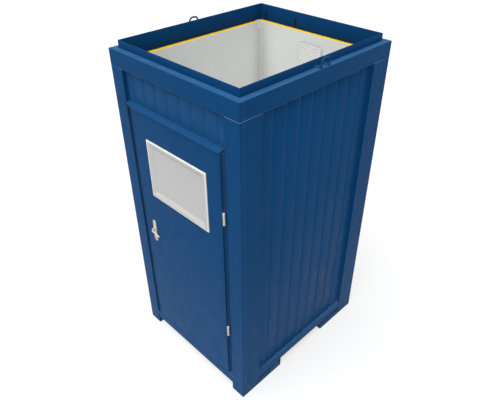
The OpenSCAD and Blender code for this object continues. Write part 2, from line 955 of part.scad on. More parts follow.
// A round lever: a collar in the plate, and a bent rod that leaves it, turns aside and droops to a ball end
module lever(root_y, out_y) {
    socket_l = 20;
    side = out_y > root_y ? 1 : -1;
    grip = lever_l - lever_r;
    tip = [lever_x + grip * cos(lever_droop), out_y, lever_z - grip * sin(lever_droop)];
    difference() {
        union() {
            bar_y([lever_x, min(root_y, root_y + side * collar_l), lever_z], collar_r, collar_l);
            bent_rod([[lever_x, root_y + side * (collar_l - over), lever_z], [lever_x, out_y, lever_z], tip],
                lever_r, lever_bend, [1, 0, 0]);
            translate(tip) sphere(r = lever_r + corner_grow);
        }
        translate([lever_x, root_y + side * (socket_l / 2 - over), lever_z])
            cube([spindle_w + 2 * spindle_play, socket_l, spindle_w + 2 * spindle_play], center = true);
    }
}
module lever_handles() {
    color(cream) {
        lever(leaf_y, leaf_y - plate_t - lever_out);
        lever(inner_back, inner_back + plate_t + lever_out);
    }
}
module spindle() {
    reach = 16;
    color(steel) {
        block([lever_x - spindle_w / 2, leaf_y - reach, lever_z - spindle_w / 2],
            [lever_x + spindle_w / 2, inner_back + reach, lever_z + spindle_w / 2]);
        bar_y([lever_x, case_y - case_t / 2, lever_z], hub_r, case_t);
        block([lever_x - arm_w / 2, case_y, lever_z],
            [lever_x + arm_w / 2, case_y + tail_t, lever_z + arm_h]);
    }
}
// Sprung latch: nose in the leaf's edge, and a tail with a hook beyond the spindle's arm
module latch_bolt() {
    nose_x = inner_x0 - latch_throw;
    tail_y = case_y - latch_w / 2;
    tail_z = latch_z + latch_h / 2 - tail_h;
    hook_x = nose_x + latch_throw + tail_l - hook_w;
    color(steel) {
        block([nose_x, case_y - latch_w / 2, latch_z - latch_h / 2],
            [inner_x0 + face_t + latch_throw, case_y + latch_w / 2, latch_z + latch_h / 2]);
        block([inner_x0, tail_y, tail_z], [hook_x + hook_w, tail_y + tail_t, tail_z + tail_h]);
        block([hook_x, tail_y, tail_z + tail_h - hook_h],
            [hook_x + hook_w, case_y + latch_w / 2, tail_z + tail_h]);
    }
}
module dead_bolt() {
    color(steel) block([inner_x0, case_y - bolt_w / 2, cylinder_z - bolt_h / 2],
        [inner_x0 + bolt_l, case_y + bolt_w / 2, cylinder_z + bolt_h / 2]);
}
module thumb_turn() {
    root_y = inner_back + plate_t + cylinder_proud;
    color(cream) {
        bar_y([lever_x, root_y - turn_in + over, cylinder_z], turn_r, turn_in);
        bar_y([lever_x, root_y + free, cylinder_z], turn_knob_r, turn_knob_t);
        block([lever_x - turn_wing_w / 2, root_y + turn_knob_t, cylinder_z - turn_knob_r],
            [lever_x + turn_wing_w / 2, root_y + turn_knob_t + turn_wing_l, cylinder_z + turn_knob_r]);
    }
}

// WC, facing the door

// Plan of the bowl: a half circle at the front and straight sides to the back
module bowl_plan(w, y0, y1) {
    translate([0, y0 + w / 2]) circle(d = w);
    translate([-w / 2, y0 + w / 2]) square([w, y1 - y0 - w / 2]);
}
module bowl_slab(w, y0, y1, z, t) {
    translate([0, 0, z]) linear_extrude(t) bowl_plan(w, y0, y1);
}
module wc_pan() {
    waist_z = rim_z - pan_waist_h;
    foot_y0 = pan_y0 + pan_foot_in;
    foot_y1 = pan_back - pan_foot_back;
    deck_y0 = seat_axis_y - lug_r;
    color(china) difference() {
        union() {
            hull($fn = hull_fn) {
                bowl_slab(pan_w, pan_y0, seat_axis_y, rim_z - rim_t, rim_t, $fn = hull_fn);
                bowl_slab(pan_waist_w, foot_y0, foot_y1, waist_z, over, $fn = hull_fn);
            }
            hull() {
                bowl_slab(pan_waist_w, foot_y0, foot_y1, waist_z, over, $fn = hull_fn);
                bowl_slab(pan_foot_w, foot_y0, foot_y1, floor_z, over, $fn = hull_fn);
            }
            block([-deck_w / 2, deck_y0, rim_z - rim_t], [deck_w / 2, pan_back, rim_z]);
            bar_y([soil_x, foot_y1 - over, soil_z], spigot_r, spigot_l + over);
        }
        hull() {
            bowl_slab(pan_w - 2 * rim_w, pan_y0 + rim_w, seat_axis_y - rim_w, rim_z, over, $fn = hull_fn);
            translate([0, pan_y0 + bowl_floor_in, rim_z - bowl_h])
                cylinder(r = bowl_floor_r, h = over, $fn = hull_fn);
        }
    }
}
// A hinge lug round the seat's pin, with a web to its plate
module seat_lug(x, z0, z1) {
    bar_x([x, seat_axis_y, seat_axis_z], lug_r, lug_w);
    block([x, seat_axis_y - lug_reach, z0], [x + lug_w, seat_axis_y, z1]);
}
module seat_pin_hole() {
    bar_x([-pan_w / 2, seat_axis_y, seat_axis_z], seat_pin_r + fit, pan_w);
}
module wc_seat() {
    z0 = rim_z + seat_under;
    lug_x = seat_post_x + seat_post_w + lug_gap;
    pad_x = pan_w / 2 - rim_w / 2;
    color(white) difference() {
        union() {
            difference() {
                bowl_slab(pan_w, pan_y0 - lid_over, seat_axis_y - seat_back, z0, seat_t);
                translate([0, 0, -over]) bowl_slab(seat_hole_w, pan_y0 + (pan_w - seat_hole_w) / 2,
                    seat_axis_y - rim_w - seat_back, z0, seat_t + 2 * over);
            }
            both_sides() {
                seat_lug(lug_x, z0 + seat_t / 2, z0 + seat_t);
                for (y = [pan_y0 + pan_w / 2, seat_axis_y - rim_w])
                    bar_z([pad_x, y, rim_z + free], seat_pad_r, seat_under);
            }
        }
        seat_pin_hole();
    }
}
module wc_lid() {
    z0 = seat_axis_z + lid_over;
    lug_x = seat_post_x - lug_gap - lug_w;
    color(white)
        translate([0, seat_axis_y, seat_axis_z]) rotate([-lid_open, 0, 0])
            translate([0, -seat_axis_y, -seat_axis_z]) difference() {
                union() {
                    bowl_slab(pan_w, pan_y0 - lid_over, seat_axis_y - seat_back, z0, lid_t);
                    both_sides() seat_lug(lug_x, z0, z0 + lid_t / 2);
                }
                seat_pin_hole();
            }
}
module seat_hinge() {
    pin_l = 2 * (seat_post_x + seat_post_w + lug_gap + lug_w);
    color(steel) {
        bar_x([-pin_l / 2, seat_axis_y, seat_axis_z], seat_pin_r, pin_l);
        both_sides() {
            bar_x([seat_post_x, seat_axis_y, seat_axis_z], lug_r, seat_post_w);
            block([seat_post_x, seat_axis_y - lug_r, rim_z],
                [seat_post_x + seat_post_w, seat_axis_y + lug_r, seat_axis_z]);
        }
    }
}
// Plan of the cistern: square to the wall, with round front corners
module cistern_plan(grow) {
    w = cistern_w + 2 * grow;
    y0 = cistern_y0 - grow;
    both_sides() {
        translate([w / 2 - cistern_r, y0 + cistern_r]) circle(r = cistern_r);
        translate([0, y0 + cistern_r]) square([w / 2, lining_back_y - y0 - cistern_r]);
        translate([0, y0]) square([w / 2 - cistern_r, cistern_r]);
    }
}
module cistern() {
    inner = [cistern_w / 2 - cistern_wall, cistern_y0 + cistern_wall, rim_z + cistern_wall];
    color(china) difference() {
        translate([0, 0, rim_z]) linear_extrude(cistern_h) cistern_plan(0);
        block([-inner[0], inner[1], inner[2]],
            [inner[0], lining_back_y - cistern_wall, rim_z + cistern_h + over]);
    }
}
module cistern_lid() {
    z0 = rim_z + cistern_h;
    button_y = (cistern_y0 + lining_back_y) / 2;
    color(china) difference() {
        translate([0, 0, z0]) linear_extrude(cistern_lid_t) cistern_plan(cistern_lid_over);
        bar_z([0, button_y, z0 - over], button_r + fit, cistern_lid_t + 2 * over);
    }
}
module flush_button() {
    button_y = (cistern_y0 + lining_back_y) / 2;
    button_top = rim_z + cistern_h + cistern_lid_t + button_up;
    color(steel) {
        bar_z([0, button_y, button_top - button_h], button_r, button_h);
        bar_z([0, button_y, button_top - button_rod_l], button_rod_r, button_rod_l - over);
    }
}
// The pipes end in free stubs behind the cabin, each with a collar that closes on the wall sheet
module soil_pipe() {
    skin_y = back_y - recess;
    pipe_y0 = pan_back - pipe_lap;
    pipe_y1 = skin_y + stub_out;
    color([0.75, 0.76, 0.77]) difference() {
        union() {
            bar_y([soil_x, pipe_y0, soil_z], soil_r, pipe_y1 - pipe_y0);
            bar_y([soil_x, skin_y, soil_z], soil_collar_r, soil_collar_t);
        }
        bar_y([soil_x, pipe_y0 - over, soil_z], soil_r - soil_wall, pipe_y1 - pipe_y0 + 2 * over);
    }
}
// Cold water pipe from its stub to the cistern's side
module water_pipe() {
    skin_y = back_y - recess;
    color(steel) {
        rod_path([[water_x, skin_y + stub_out, water_z], [water_x, water_y, water_z],
            [cistern_w / 2, water_y, water_z]], water_r);
        bar_y([water_x, skin_y, water_z], water_collar_r, water_collar_t);
    }
}

// Washbasin on the right-hand wall

// A plan with round front corners, square to the wall, in the basin's own axes
module basin_plan(l, w, r) {
    for (s = [-1, 1]) translate([-l + r, s * (w / 2 - r)]) circle(r = r);
    translate([-l + r, -w / 2]) square([l - r, w]);
    translate([-l, r - w / 2]) square([r, w - 2 * r]);
}
module washbasin() {
    rim_slab = basin_t / 3;
    bowl_turn = [[0, -bowl_deep], [bowl_floor, -bowl_deep],
        [bowl_r * bowl_low_shares[0], -bowl_deep * bowl_low_shares[1]],
        [bowl_r * bowl_high_shares[0], -bowl_deep * bowl_high_shares[1]],
        [bowl_r, 0], [bowl_r, over], [0, over]];
    color(china) translate([lining_x, basin_y, basin_top]) difference() {
        union() {
            translate([0, 0, -rim_slab]) linear_extrude(rim_slab) basin_plan(basin_l, basin_w, basin_r);
            hull() {
                translate([0, 0, -rim_slab]) linear_extrude(over)
                    basin_plan(basin_l, basin_w, basin_r, $fn = hull_fn);
                translate([0, 0, -basin_t]) linear_extrude(over)
                    basin_plan(bowl_in + basin_under_l / 2, basin_under_w, basin_r, $fn = hull_fn);
            }
        }
        translate([-bowl_in, 0, 0]) rotate_extrude() polygon(bowl_turn);
        bar_z([-bowl_in, 0, -basin_t - over], drain_r + fit, basin_t);
        bar_z([-tap_in, 0, -basin_t - over], tap_hole_r + fit, basin_t + 2 * over);
    }
}
module at_tap() {
    translate([lining_x - tap_in, basin_y, basin_top]) children();
}
module tap_body() {
    color(steel) at_tap() {
        cylinder(r = tap_r, h = tap_h);
        bar_z([0, 0, -basin_t / 2], tap_hole_r, basin_t / 2);
        bar_z([0, 0, tap_h], tap_stem_r, tap_stem_h);
        rod_path([[0, 0, spout_z], [-spout_l, 0, spout_z + spout_rise],
            [-spout_l, 0, spout_z + spout_rise - spout_drop]], spout_r);
    }
}
module tap_lever() {
    color(steel) at_tap() translate([0, 0, tap_h + free]) difference() {
        union() {
            cylinder(r = tap_r, h = tap_cap_h);
            rod_path([[0, 0, tap_cap_h / 2], [-tap_arm_l, 0, tap_cap_h]], tap_arm_r);
            translate([-tap_arm_l, 0, tap_cap_h]) sphere(r = tap_arm_r + corner_grow);
        }
        translate([0, 0, -over]) cylinder(r = tap_stem_r + fit, h = tap_stem_h + over);
    }
}
// Bottle trap from the basin's drain to the wall
module basin_trap() {
    drain_x = lining_x - bowl_in;
    bottle_top = basin_top - basin_t - trap_drop;
    color(white) {
        bar_z([drain_x, basin_y, basin_top - bowl_deep - basin_t / 4 + over], drain_r, basin_t / 4 - over);
        bar_z([drain_x, basin_y, bottle_top], trap_r, basin_top - bowl_deep - over - bottle_top);
        bar_z([drain_x, basin_y, bottle_top - bottle_h], bottle_r, bottle_h);
        bar_x([drain_x, basin_y, bottle_top - trap_out_z], trap_r, bowl_in);
        bar_x([lining_x - trap_r / 2, basin_y, bottle_top - trap_out_z], bottle_r, trap_r / 2);
    }
}
module wall_mirror() {
    color([0.80, 0.84, 0.86]) block([lining_x - mirror_t, basin_y - mirror_w / 2, mirror_z],
        [lining_x, basin_y + mirror_w / 2, mirror_z + mirror_h]);
}

// Ventilation: grille inside, fan in a duct through the wall, cowl outside
module vent_grille() {
    half = grille_w / 2;
    y0 = lining_back_y - grille_t;
    slot_l = half - grille_margin;
    pitch = (grille_w - 2 * grille_margin) / grille_slats;
    color(white) translate([0, 0, duct_z]) difference() {
        block([-half, y0, -half], [half, lining_back_y, half]);
        block([grille_wall - half, y0 + grille_wall, grille_wall - half],
            [half - grille_wall, lining_back_y + over, half - grille_wall]);
        for (i = [0 : grille_slats - 1]) {
            slot_z = (i - (grille_slats - 1) / 2) * pitch;
            block([-slot_l, y0 - over, slot_z - grille_slot / 2],
                [slot_l, y0 + grille_wall + over, slot_z + grille_slot / 2]);
        }
    }
}
module fan_duct() {
    skin_y = back_y - recess;
    cowl_y = skin_y + cowl_out;
    color(white) translate([0, 0, duct_z]) {
        difference() {
            union() {
                bar_y([0, lining_back_y, 0], duct_r, skin_y + cowl_out - lining_back_y);
                bar_y([0, skin_y, 0], cowl_r, cowl_out);
            }
            bar_y([0, lining_back_y - over, 0], duct_r - duct_wall, skin_y - lining_back_y + over);
            difference() {
                bar_y([0, skin_y + cowl_t, 0], cowl_r - cowl_t, cowl_out - 2 * cowl_t);
                difference() {
                    bar_y([0, skin_y, 0], duct_r, cowl_t * 2);
                    bar_y([0, skin_y - over, 0], duct_r - duct_wall, cowl_t * 2 + 2 * over);
                }
            }
            bar_y([0, skin_y - over, 0], duct_r - duct_wall, 2 * over + cowl_t);
            // The cowl is open at its lower side
            block([-cowl_r / 2, skin_y + cowl_t, -cowl_r - over],
                [cowl_r / 2, cowl_y - cowl_t, -duct_r / 2]);
        }
        bar_y([0, motor_y, 0], motor_r, motor_l);
        bar_y([0, motor_y - shaft_l, 0], shaft_r, shaft_l + over);
        for (i = [0 : spider_arms - 1]) rotate([0, i * 360 / spider_arms, 0])
            block([0, motor_y + motor_l / 2, -spider_w / 2],
                [duct_r - duct_wall / 2, motor_y + motor_l / 2 + spider_t, spider_w / 2]);
    }
}
module fan_wheel() {
    hub_y = motor_y - free - fan_hub_l;
    blade_r = duct_r - duct_wall - fan_tip;
    color([0.85, 0.86, 0.86]) translate([0, hub_y, duct_z]) difference() {
        union() {
            bar_y([0, 0, 0], fan_hub_r, fan_hub_l);
            for (i = [0 : fan_blades - 1]) rotate([0, i * 360 / fan_blades, 0])
                translate([0, fan_hub_l / 2, 0]) rotate([blade_tilt, 0, 0])
                    block([fan_hub_r - blade_t, -blade_t / 2, -blade_w / 2],
                        [blade_r - over, blade_t / 2, blade_w / 2]);
        }
        bar_y([0, -over, 0], shaft_r + fit, fan_hub_l + 2 * over);
    }
}

// Paper roll on a bracket at the left-hand wall
module roll_holder() {
    roller_x = roll_in - lining_x;
    half = roll_w / 2 + arm_gap;
    color(steel) {
        block([-lining_x, roll_y - half - holder_t, roll_z - holder_plate_h / 2],
            [holder_t - lining_x, roll_y + half + holder_t, roll_z + holder_plate_h / 2]);
        for (s = [-1, 1]) translate([0, roll_y + s * (half + holder_t / 2), 0]) {
            block([-lining_x, -holder_t / 2, roll_z - roll_core_r],
                [roller_x, holder_t / 2, roll_z + roll_core_r]);
            bar_y([roller_x, -holder_t / 2, roll_z], roll_core_r, holder_t);
        }
        bar_y([roller_x, roll_y - half, roll_z], roller_pin_r, 2 * half);
        bar_y([roller_x, roll_y - roll_w / 2, roll_z], roll_core_r - fit, roll_w);
    }
}
module toilet_roll() {
    roller_x = roll_in - lining_x;
    color([0.95, 0.95, 0.94]) difference() {
        bar_y([roller_x, roll_y - roll_w / 2, roll_z], roll_r, roll_w);
        bar_y([roller_x, roll_y - roll_w / 2 - over, roll_z], roll_core_r, roll_w + 2 * over);
    }
}

// Cable outlet: a white open duct in the top of the left wall, and rubber strips over two slots
module cable_conduit() {
    lo = [outlet_in - half_w, lining_back_y - outlet_end - outlet_w, wall_top - outlet_h];
    hi = [-lining_x, lining_back_y - outlet_end, wall_top + outlet_up];
    color(white) difference() {
        block(lo, hi);
        block(lo + [outlet_wall, outlet_wall, outlet_wall], hi - [outlet_wall, outlet_wall, -over]);
    }
}
module cable_slot_seals() {
    seal_y = back_y - ledge_w - roof_sheet;
    color(black) for (inset = slot_ins)
        block([inset - half_w - slot_w / 2, seal_y - slot_t, slot_z0],
            [inset - half_w + slot_w / 2, seal_y, slot_z1]);
}

posts_front();
posts_back();
sill_front();
base_rail_back();
base_rails_side();
skid_feet();
floor_joists();
floor_deck();
floor_covering();
roof_rails_end();
roof_rails_side();
roof_upstand();
lifting_eyes();
skin_sides();
skin_back();
skin_front();
wall_insulation();
lining_sides();
lining_back();
lining_front();
door_frame();
drip_ledge();
strike_plate();
door_skin_outer();
door_skin_inner();
door_core();
door_seal();
window_frame();
window_pane();
hinge_frame_halves();
hinge_door_halves();
lock_case();
lock_cylinder();
backplates();
lever_handles();
spindle();
latch_bolt();
dead_bolt();
thumb_turn();
wc_pan();
wc_seat();
wc_lid();
seat_hinge();
cistern();
cistern_lid();
flush_button();
washbasin();
tap_body();
tap_lever();
basin_trap();
wall_mirror();
vent_grille();
fan_duct();
fan_wheel();
roll_holder();
toilet_roll();
soil_pipe();
water_pipe();
cable_conduit();
cable_slot_seals();
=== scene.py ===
"""Looks of a portable toilet cabin: painted steel, white boards, sanitary ware and fittings round a fixed frame."""

import json
import math

import bmesh
import bpy
from bpy.props import FloatProperty, FloatVectorProperty, IntProperty, PointerProperty
from mathutils import Matrix, Vector, noise


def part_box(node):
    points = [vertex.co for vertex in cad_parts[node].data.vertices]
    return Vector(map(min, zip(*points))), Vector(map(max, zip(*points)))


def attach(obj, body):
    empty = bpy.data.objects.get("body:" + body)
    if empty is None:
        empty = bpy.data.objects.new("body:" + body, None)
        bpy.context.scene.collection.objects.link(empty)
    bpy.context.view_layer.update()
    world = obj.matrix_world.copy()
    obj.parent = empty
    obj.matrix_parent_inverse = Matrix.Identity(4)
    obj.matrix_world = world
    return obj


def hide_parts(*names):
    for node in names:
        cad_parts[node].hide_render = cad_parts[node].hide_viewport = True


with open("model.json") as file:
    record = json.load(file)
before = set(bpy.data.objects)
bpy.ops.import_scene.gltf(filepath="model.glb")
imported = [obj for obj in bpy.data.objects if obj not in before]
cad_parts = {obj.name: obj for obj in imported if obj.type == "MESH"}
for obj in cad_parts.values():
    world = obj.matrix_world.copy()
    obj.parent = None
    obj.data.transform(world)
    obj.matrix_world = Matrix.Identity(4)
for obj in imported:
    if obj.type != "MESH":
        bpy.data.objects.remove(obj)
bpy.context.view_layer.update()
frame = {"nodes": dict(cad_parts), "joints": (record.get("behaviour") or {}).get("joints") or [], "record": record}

bl_info = {
    "name": "Portable Toilet Cabin",
    "version": (1, 0, 0),
    "blender": (4, 5, 0),
    "location": "View3D > Sidebar > Cabin",
    "description": "Dresses a portable toilet cabin: paint, boards, window, door furniture and sanitary ware",
    "category": "Object",
}

NODES = frame["nodes"]
BODY_OF = {node: body for body, nodes in frame["record"]["behaviour"]["bodies"].items() for node in nodes}
MM = 0.001
SAME_POINT = 0.01 * MM
UP = Vector((0, 0, 1))


def joint_place(name):
    """Where a joint of the record sits."""
    return Vector(next(joint["pos_m"] for joint in frame["joints"] if joint["name"] == name))


def linear(code):
    """A hex colour as the linear colour that a shader's socket takes."""
    parts = [int(code[i : i + 2], 16) / 255 for i in (1, 3, 5)]
    return tuple(p / 12.92 if p <= 0.04045 else ((p + 0.055) / 1.055) ** 2.4 for p in parts) + (1.0,)


def colour_property(name, description, code):
    return FloatVectorProperty(
        name=name, description=description, default=linear(code)[:3], subtype="COLOR", size=3, min=0, max=1
    )


def length_property(name, description, default, low, high):
    return FloatProperty(name=name, description=description, default=default, min=low, max=high, unit="LENGTH")


# Settings


class CabinColours(bpy.types.PropertyGroup):
    """Colours of the finishes that show most."""

    paint: colour_property("Paint", "Enamel on the steel frame, the wall sheets and the door", "#0A4678")
    lining: colour_property("Lining", "Laminate on the inner boards", "#E2E3E0")
    insulation: colour_property("Insulation", "Mineral wool that shows along the top of the walls", "#F0C200")
    furniture: colour_property("Door furniture", "Enamel on the hinges, backplates and levers", "#CDC5B9")
    window: colour_property("Window frame", "Plastic of the window frame", "#C6C6C5")
    pane: colour_property("Window pane", "Milky glass", "#BDBDBD")


class CabinSizes(bpy.types.PropertyGroup):
    """Sizes of the details that the frame leaves open."""

    fold: length_property("Fold radius", "Outer radius of the folds in the steel", 0.0022, 0.0005, 0.004)
    sheet_fold: length_property("Sheet fold", "Radius of the folds in thin sheet", 0.0012, 0.0003, 0.003)
    weld: length_property("Weld bead", "Radius of the weld beads", 0.0032, 0.001, 0.006)
    ripple: length_property("Weld ripple", "Distance between the ripples of a bead", 0.0035, 0.001, 0.01)
    screw: length_property("Screw head", "Radius of a pan-head screw", 0.0042, 0.002, 0.008)
    glaze: length_property("Glaze radius", "Radius of the rounded edges of the china", 0.007, 0.002, 0.015)
    wool_seed: IntProperty(name="Seed", description="Seed for the loose surface of the wool", default=7, min=0)


class CabinStage(bpy.types.PropertyGroup):
    """Camera and light."""

    azimuth: FloatProperty(
        name="Azimuth", description="Angle of the view round the cabin", default=math.radians(45), subtype="ANGLE"
    )
    elevation: FloatProperty(
        name="Elevation", description="Angle of the view above the horizon", default=math.radians(35.264),
        subtype="ANGLE"
    )
    lens: FloatProperty(name="Lens", description="Focal length in millimetres", default=35.6, min=10, max=200)


# Materials


def add_node(tree, kind, inputs=(), output=0, **settings):
    """Adds a node with its settings, values and links, and gives one of its outputs."""
    made = tree.nodes.new(kind)
    for key, value in settings.items():
        setattr(made, key, value)
    for key, value in dict(inputs).items():
        for source in value if isinstance(value, list) else [value]:
            if isinstance(source, bpy.types.NodeSocket):
                tree.links.new(source, made.inputs[key])
            else:
                made.inputs[key].default_value = source
    return made.outputs[output] if len(made.outputs) else None


class Recipe:
    """A Principled material that is built up in layers of colour, roughness and relief."""

    def __init__(self, name, colour, roughness, **constants):
        self.material = bpy.data.materials.new(name + "_finish")
        self.material.use_nodes = True
        self.colour = tuple(colour)[:3] + (1.0,)
        self.material.diffuse_color = self.colour
        self.tree = self.material.node_tree
        self.tree.nodes.clear()
        self.shader = self.tree.nodes.new("ShaderNodeBsdfPrincipled")
        self.shader.inputs["Base Color"].default_value = self.colour
        self.shader.inputs["Roughness"].default_value = roughness
        for socket, value in constants.items():
            self.shader.inputs[socket.replace("_", " ")].default_value = value
        self.node("ShaderNodeOutputMaterial", {"Surface": self.shader.outputs[0]})
        self.place = self.node("ShaderNodeTexCoord", output="Object")
        self.relief = None

    def node(self, kind, inputs=(), output=0, **settings):
        return add_node(self.tree, kind, inputs, output, **settings)

    def grain(self, size_mm, detail=3.0, stretch=(1, 1, 1), turn=(0, 0, 0), kind="Noise", output=0):
        """A texture whose lumps are about size_mm across, stretched and turned in the cabin's frame."""
        place = self.node("ShaderNodeMapping", {"Vector": self.place, "Scale": stretch, "Rotation": turn})
        inputs = {"Vector": place, "Scale": 1000 / size_mm, "Detail": detail}
        return self.node("ShaderNodeTex" + kind, inputs, output)

    def axis(self, letter):
        """Where a point lies along an axis, in metres."""
        return self.node("ShaderNodeSeparateXYZ", {0: self.place}, letter)

    def facing(self, letter):
        """How far a face looks along an axis, from -1 to 1."""
        return self.node("ShaderNodeSeparateXYZ", {0: self.node("ShaderNodeNewGeometry", output="Normal")}, letter)

    def off(self, source, middle):
        """How far a value lies from a middle value."""
        gap = self.node("ShaderNodeMath", {0: source, 1: middle}, operation="SUBTRACT")
        return self.node("ShaderNodeMath", {0: gap}, operation="ABSOLUTE")

    def within(self, **limits):
        """Distance inside two limits along an axis; the least of them for several axes."""
        least = None
        for letter, (low, high) in limits.items():
            gap = self.off(self.axis(letter), (low + high) / 2)
            depth = self.node("ShaderNodeMath", {0: (high - low) / 2, 1: gap}, operation="SUBTRACT")
            if least is not None:
                depth = self.node("ShaderNodeMath", {0: least, 1: depth}, operation="MINIMUM")
            least = depth
        return least

    def upward(self):
        """A ramp up to the faces that look up."""
        return self.facing("Z"), 0.93, 1.0

    def openness(self, reach_mm):
        """1 on open faces, less in corners and gaps narrower than reach_mm."""
        return self.node("ShaderNodeAmbientOcclusion", {"Distance": reach_mm * MM}, "AO", samples=8)

    def share(self, *factors):
        """The product of factors, where (source, low, high, to_low, to_high) is ramped first, to 0..1 by default."""
        total = None
        for factor in factors:
            if isinstance(factor, tuple):
                factor = self.node("ShaderNodeMapRange", enumerate(factor))
            if total is not None:
                factor = self.node("ShaderNodeMath", {0: total, 1: factor}, operation="MULTIPLY")
            total = factor
        return total

    def tint(self, code, *factors):
        """Lays another colour over the base colour, in the share that the factors give."""
        base = self.shader.inputs["Base Color"]
        under = base.links[0].from_socket if base.links else self.colour
        over = linear(code) if isinstance(code, str) else tuple(code) + (1.0,)
        inputs = {0: self.share(*factors), 6: under, 7: over}
        self.tree.links.new(self.node("ShaderNodeMix", inputs, 2, data_type="RGBA"), base)

    def rough(self, source, smooth, dull, low=0.3, high=0.7):
        """Lets the roughness follow a source, from smooth where it is low to dull where it is high."""
        self.tree.links.new(self.share((source, low, high, smooth, dull)), self.shader.inputs["Roughness"])

    def bump(self, height, depth_mm, strength):
        """Adds relief of that depth to what is there."""
        inputs = {"Strength": strength, "Distance": depth_mm * MM, "Height": height}
        if self.relief is not None:
            inputs["Normal"] = self.relief
        self.relief = self.node("ShaderNodeBump", inputs)
        self.tree.links.new(self.relief, self.shader.inputs["Normal"])


def gentian_blue_paint(colours):
    """Semi-gloss enamel on folded steel."""
    r = Recipe("gentian_blue_paint", colours.paint, 0.36, Specular_IOR_Level=0.035)
    across, depth, height = r.axis("X"), r.axis("Y"), r.axis("Z")
    # A slow drift in tone, as on a large sprayed panel
    r.tint("#22609C", (r.grain(900, 2), 0.35, 0.7, 0.0, 0.08))
    # Pale veil that thickens towards the ground, and painted top light: a paler film on what faces up
    r.tint("#93A0B0", (height, 1.3, 0.0), (r.grain(160, 5), 0.3, 0.7, 0.0, 0.045))
    r.tint("#6F9FC0", r.upward(), (r.grain(60, 4), 0.3, 0.7, 0.14, 0.22))
    # Painted highlight on the far slope of each groove
    lean = 0.41
    slopes = [r.share((r.off(r.facing(letter), way * lean), 0.2, 0.1)) for letter, way in (("X", -1), ("Y", 1))]
    r.tint("#7FA9D6", r.node("ShaderNodeMath", enumerate(slopes), operation="MAXIMUM"), 0.06)
    # Painted light on the front sheet in the shade of the roof frame
    low, high = span_of("skin_front")
    r.tint("#5F9BD8", (r.within(Y=(low.y - 1 * MM, high.y + 1 * MM)), 0.0, 1 * MM, 0.0, 0.075))
    # Painted highlight that shows as a hairline where the roof frame meets the walls
    joint = r.off(height, span_of("roof_rails_side")[0].z)
    r.tint("#A3B4C4", (joint, 2 * MM, 0.8 * MM), (r.grain(90, 5), 0.35, 0.6, 0.1, 0.7))
    # Chips and scuffs just above the ground
    r.tint("#5B5149", (r.grain(14, 4), 0.66, 0.70), (height, 0.12, 0.02, 0.0, 0.35))
    # Painted shade in the corners and gaps
    opened = r.openness(130)
    r.tint("#0A2444", (opened, 0.85, 0.3, 0.0, 0.2))
    # Painted light that lifts the shade in the narrow gaps, most on the hinge side
    leaf_low, leaf_high = span_of("door_skin_outer")
    r.tint("#6C93BC", (opened, 0.5, 0.15), (across, leaf_low.x - 10 * MM, leaf_low.x, 0.1, 0.45))
    # Painted shade along the edges of the leaf, most at the latch, and on the post beside the latch
    edge_shade = "#0A1A30"
    front = (depth, leaf_low.y + 2 * MM, leaf_low.y + 1 * MM)
    for edge, way, most in ((leaf_low.x, 1, 0.6), (leaf_high.x, -1, 0.28)):
        near = (across, edge + way * 45 * MM, edge)
        r.tint(edge_shade, front, near, near, most)
    low, high = span_of("posts_front")
    near = (r.off(across, span_of("sill_front")[0].x), 12 * MM, 2 * MM)
    front = (depth, low.y + 3 * MM, low.y + 2 * MM)
    r.tint(edge_shade, near, front, (height, high.z, high.z - 20 * MM), 0.45)
    # Painted shade on the inside of the roof's upstand, darkest at its foot
    low, high = span_of("roof_upstand")
    sheet, foot = 1.5 * MM, span_of("lining_back")[1].z
    inside = r.within(X=(low.x, high.x), Y=(low.y, high.y))
    r.tint("#0A1E3C", (inside, sheet, 2 * sheet), (height, foot, high.z, 0.62, 0.12))
    # A darker tone over the drip ledge
    low, high = span_of("drip_ledge")
    ledge_depth = r.within(Z=(low.z, high.z + 1 * MM), Y=(low.y, high.y))
    r.tint("#123C6C", (ledge_depth, 0.0, 1 * MM, 0.0, 0.28))
    r.rough(r.grain(60, 4), 0.34, 0.48)
    # Slight waviness of the sheet, and the orange peel of the spray
    r.bump(r.grain(420, 1), 0.5, 0.35)
    r.bump(r.grain(2.5, 2), 0.03, 0.25)
    return r.material


def white_lining_board(colours):
    """Smooth laminate on board."""
    r = Recipe("white_lining_board", colours.lining, 0.45)
    r.tint("#B9BAB2", (r.grain(500, 3), 0.4, 0.75, 0.0, 0.06))
    # Painted shade, greyer in the corners
    r.tint("#83857F", (r.openness(170), 0.95, 0.5, 0.0, 0.42))
    # Scuffs up to knee height
    r.tint("#8E8F8A", (r.grain(40, 5), 0.58, 0.66), (r.axis("Z"), 0.7, 0.17, 0.0, 0.3))
    r.rough(r.grain(80), 0.38, 0.55)
    r.bump(r.grain(3, 2), 0.04, 0.3)
    return r.material


def yellow_insulation(colours):
    """Mineral wool, with its fibres lying in layers."""
    r = Recipe("yellow_insulation", colours.insulation, 0.95, Specular_IOR_Level=0.1)
    fibres = r.grain(9, 8, stretch=(1, 1, 5))
    r.tint("#C79A00", (fibres, 0.52, 0.75, 0.0, 0.25))
    r.tint("#FFE27A", (r.grain(2, 3), 0.6, 0.8, 0.0, 0.2))
    r.bump(fibres, 1.6, 0.8)
    return r.material


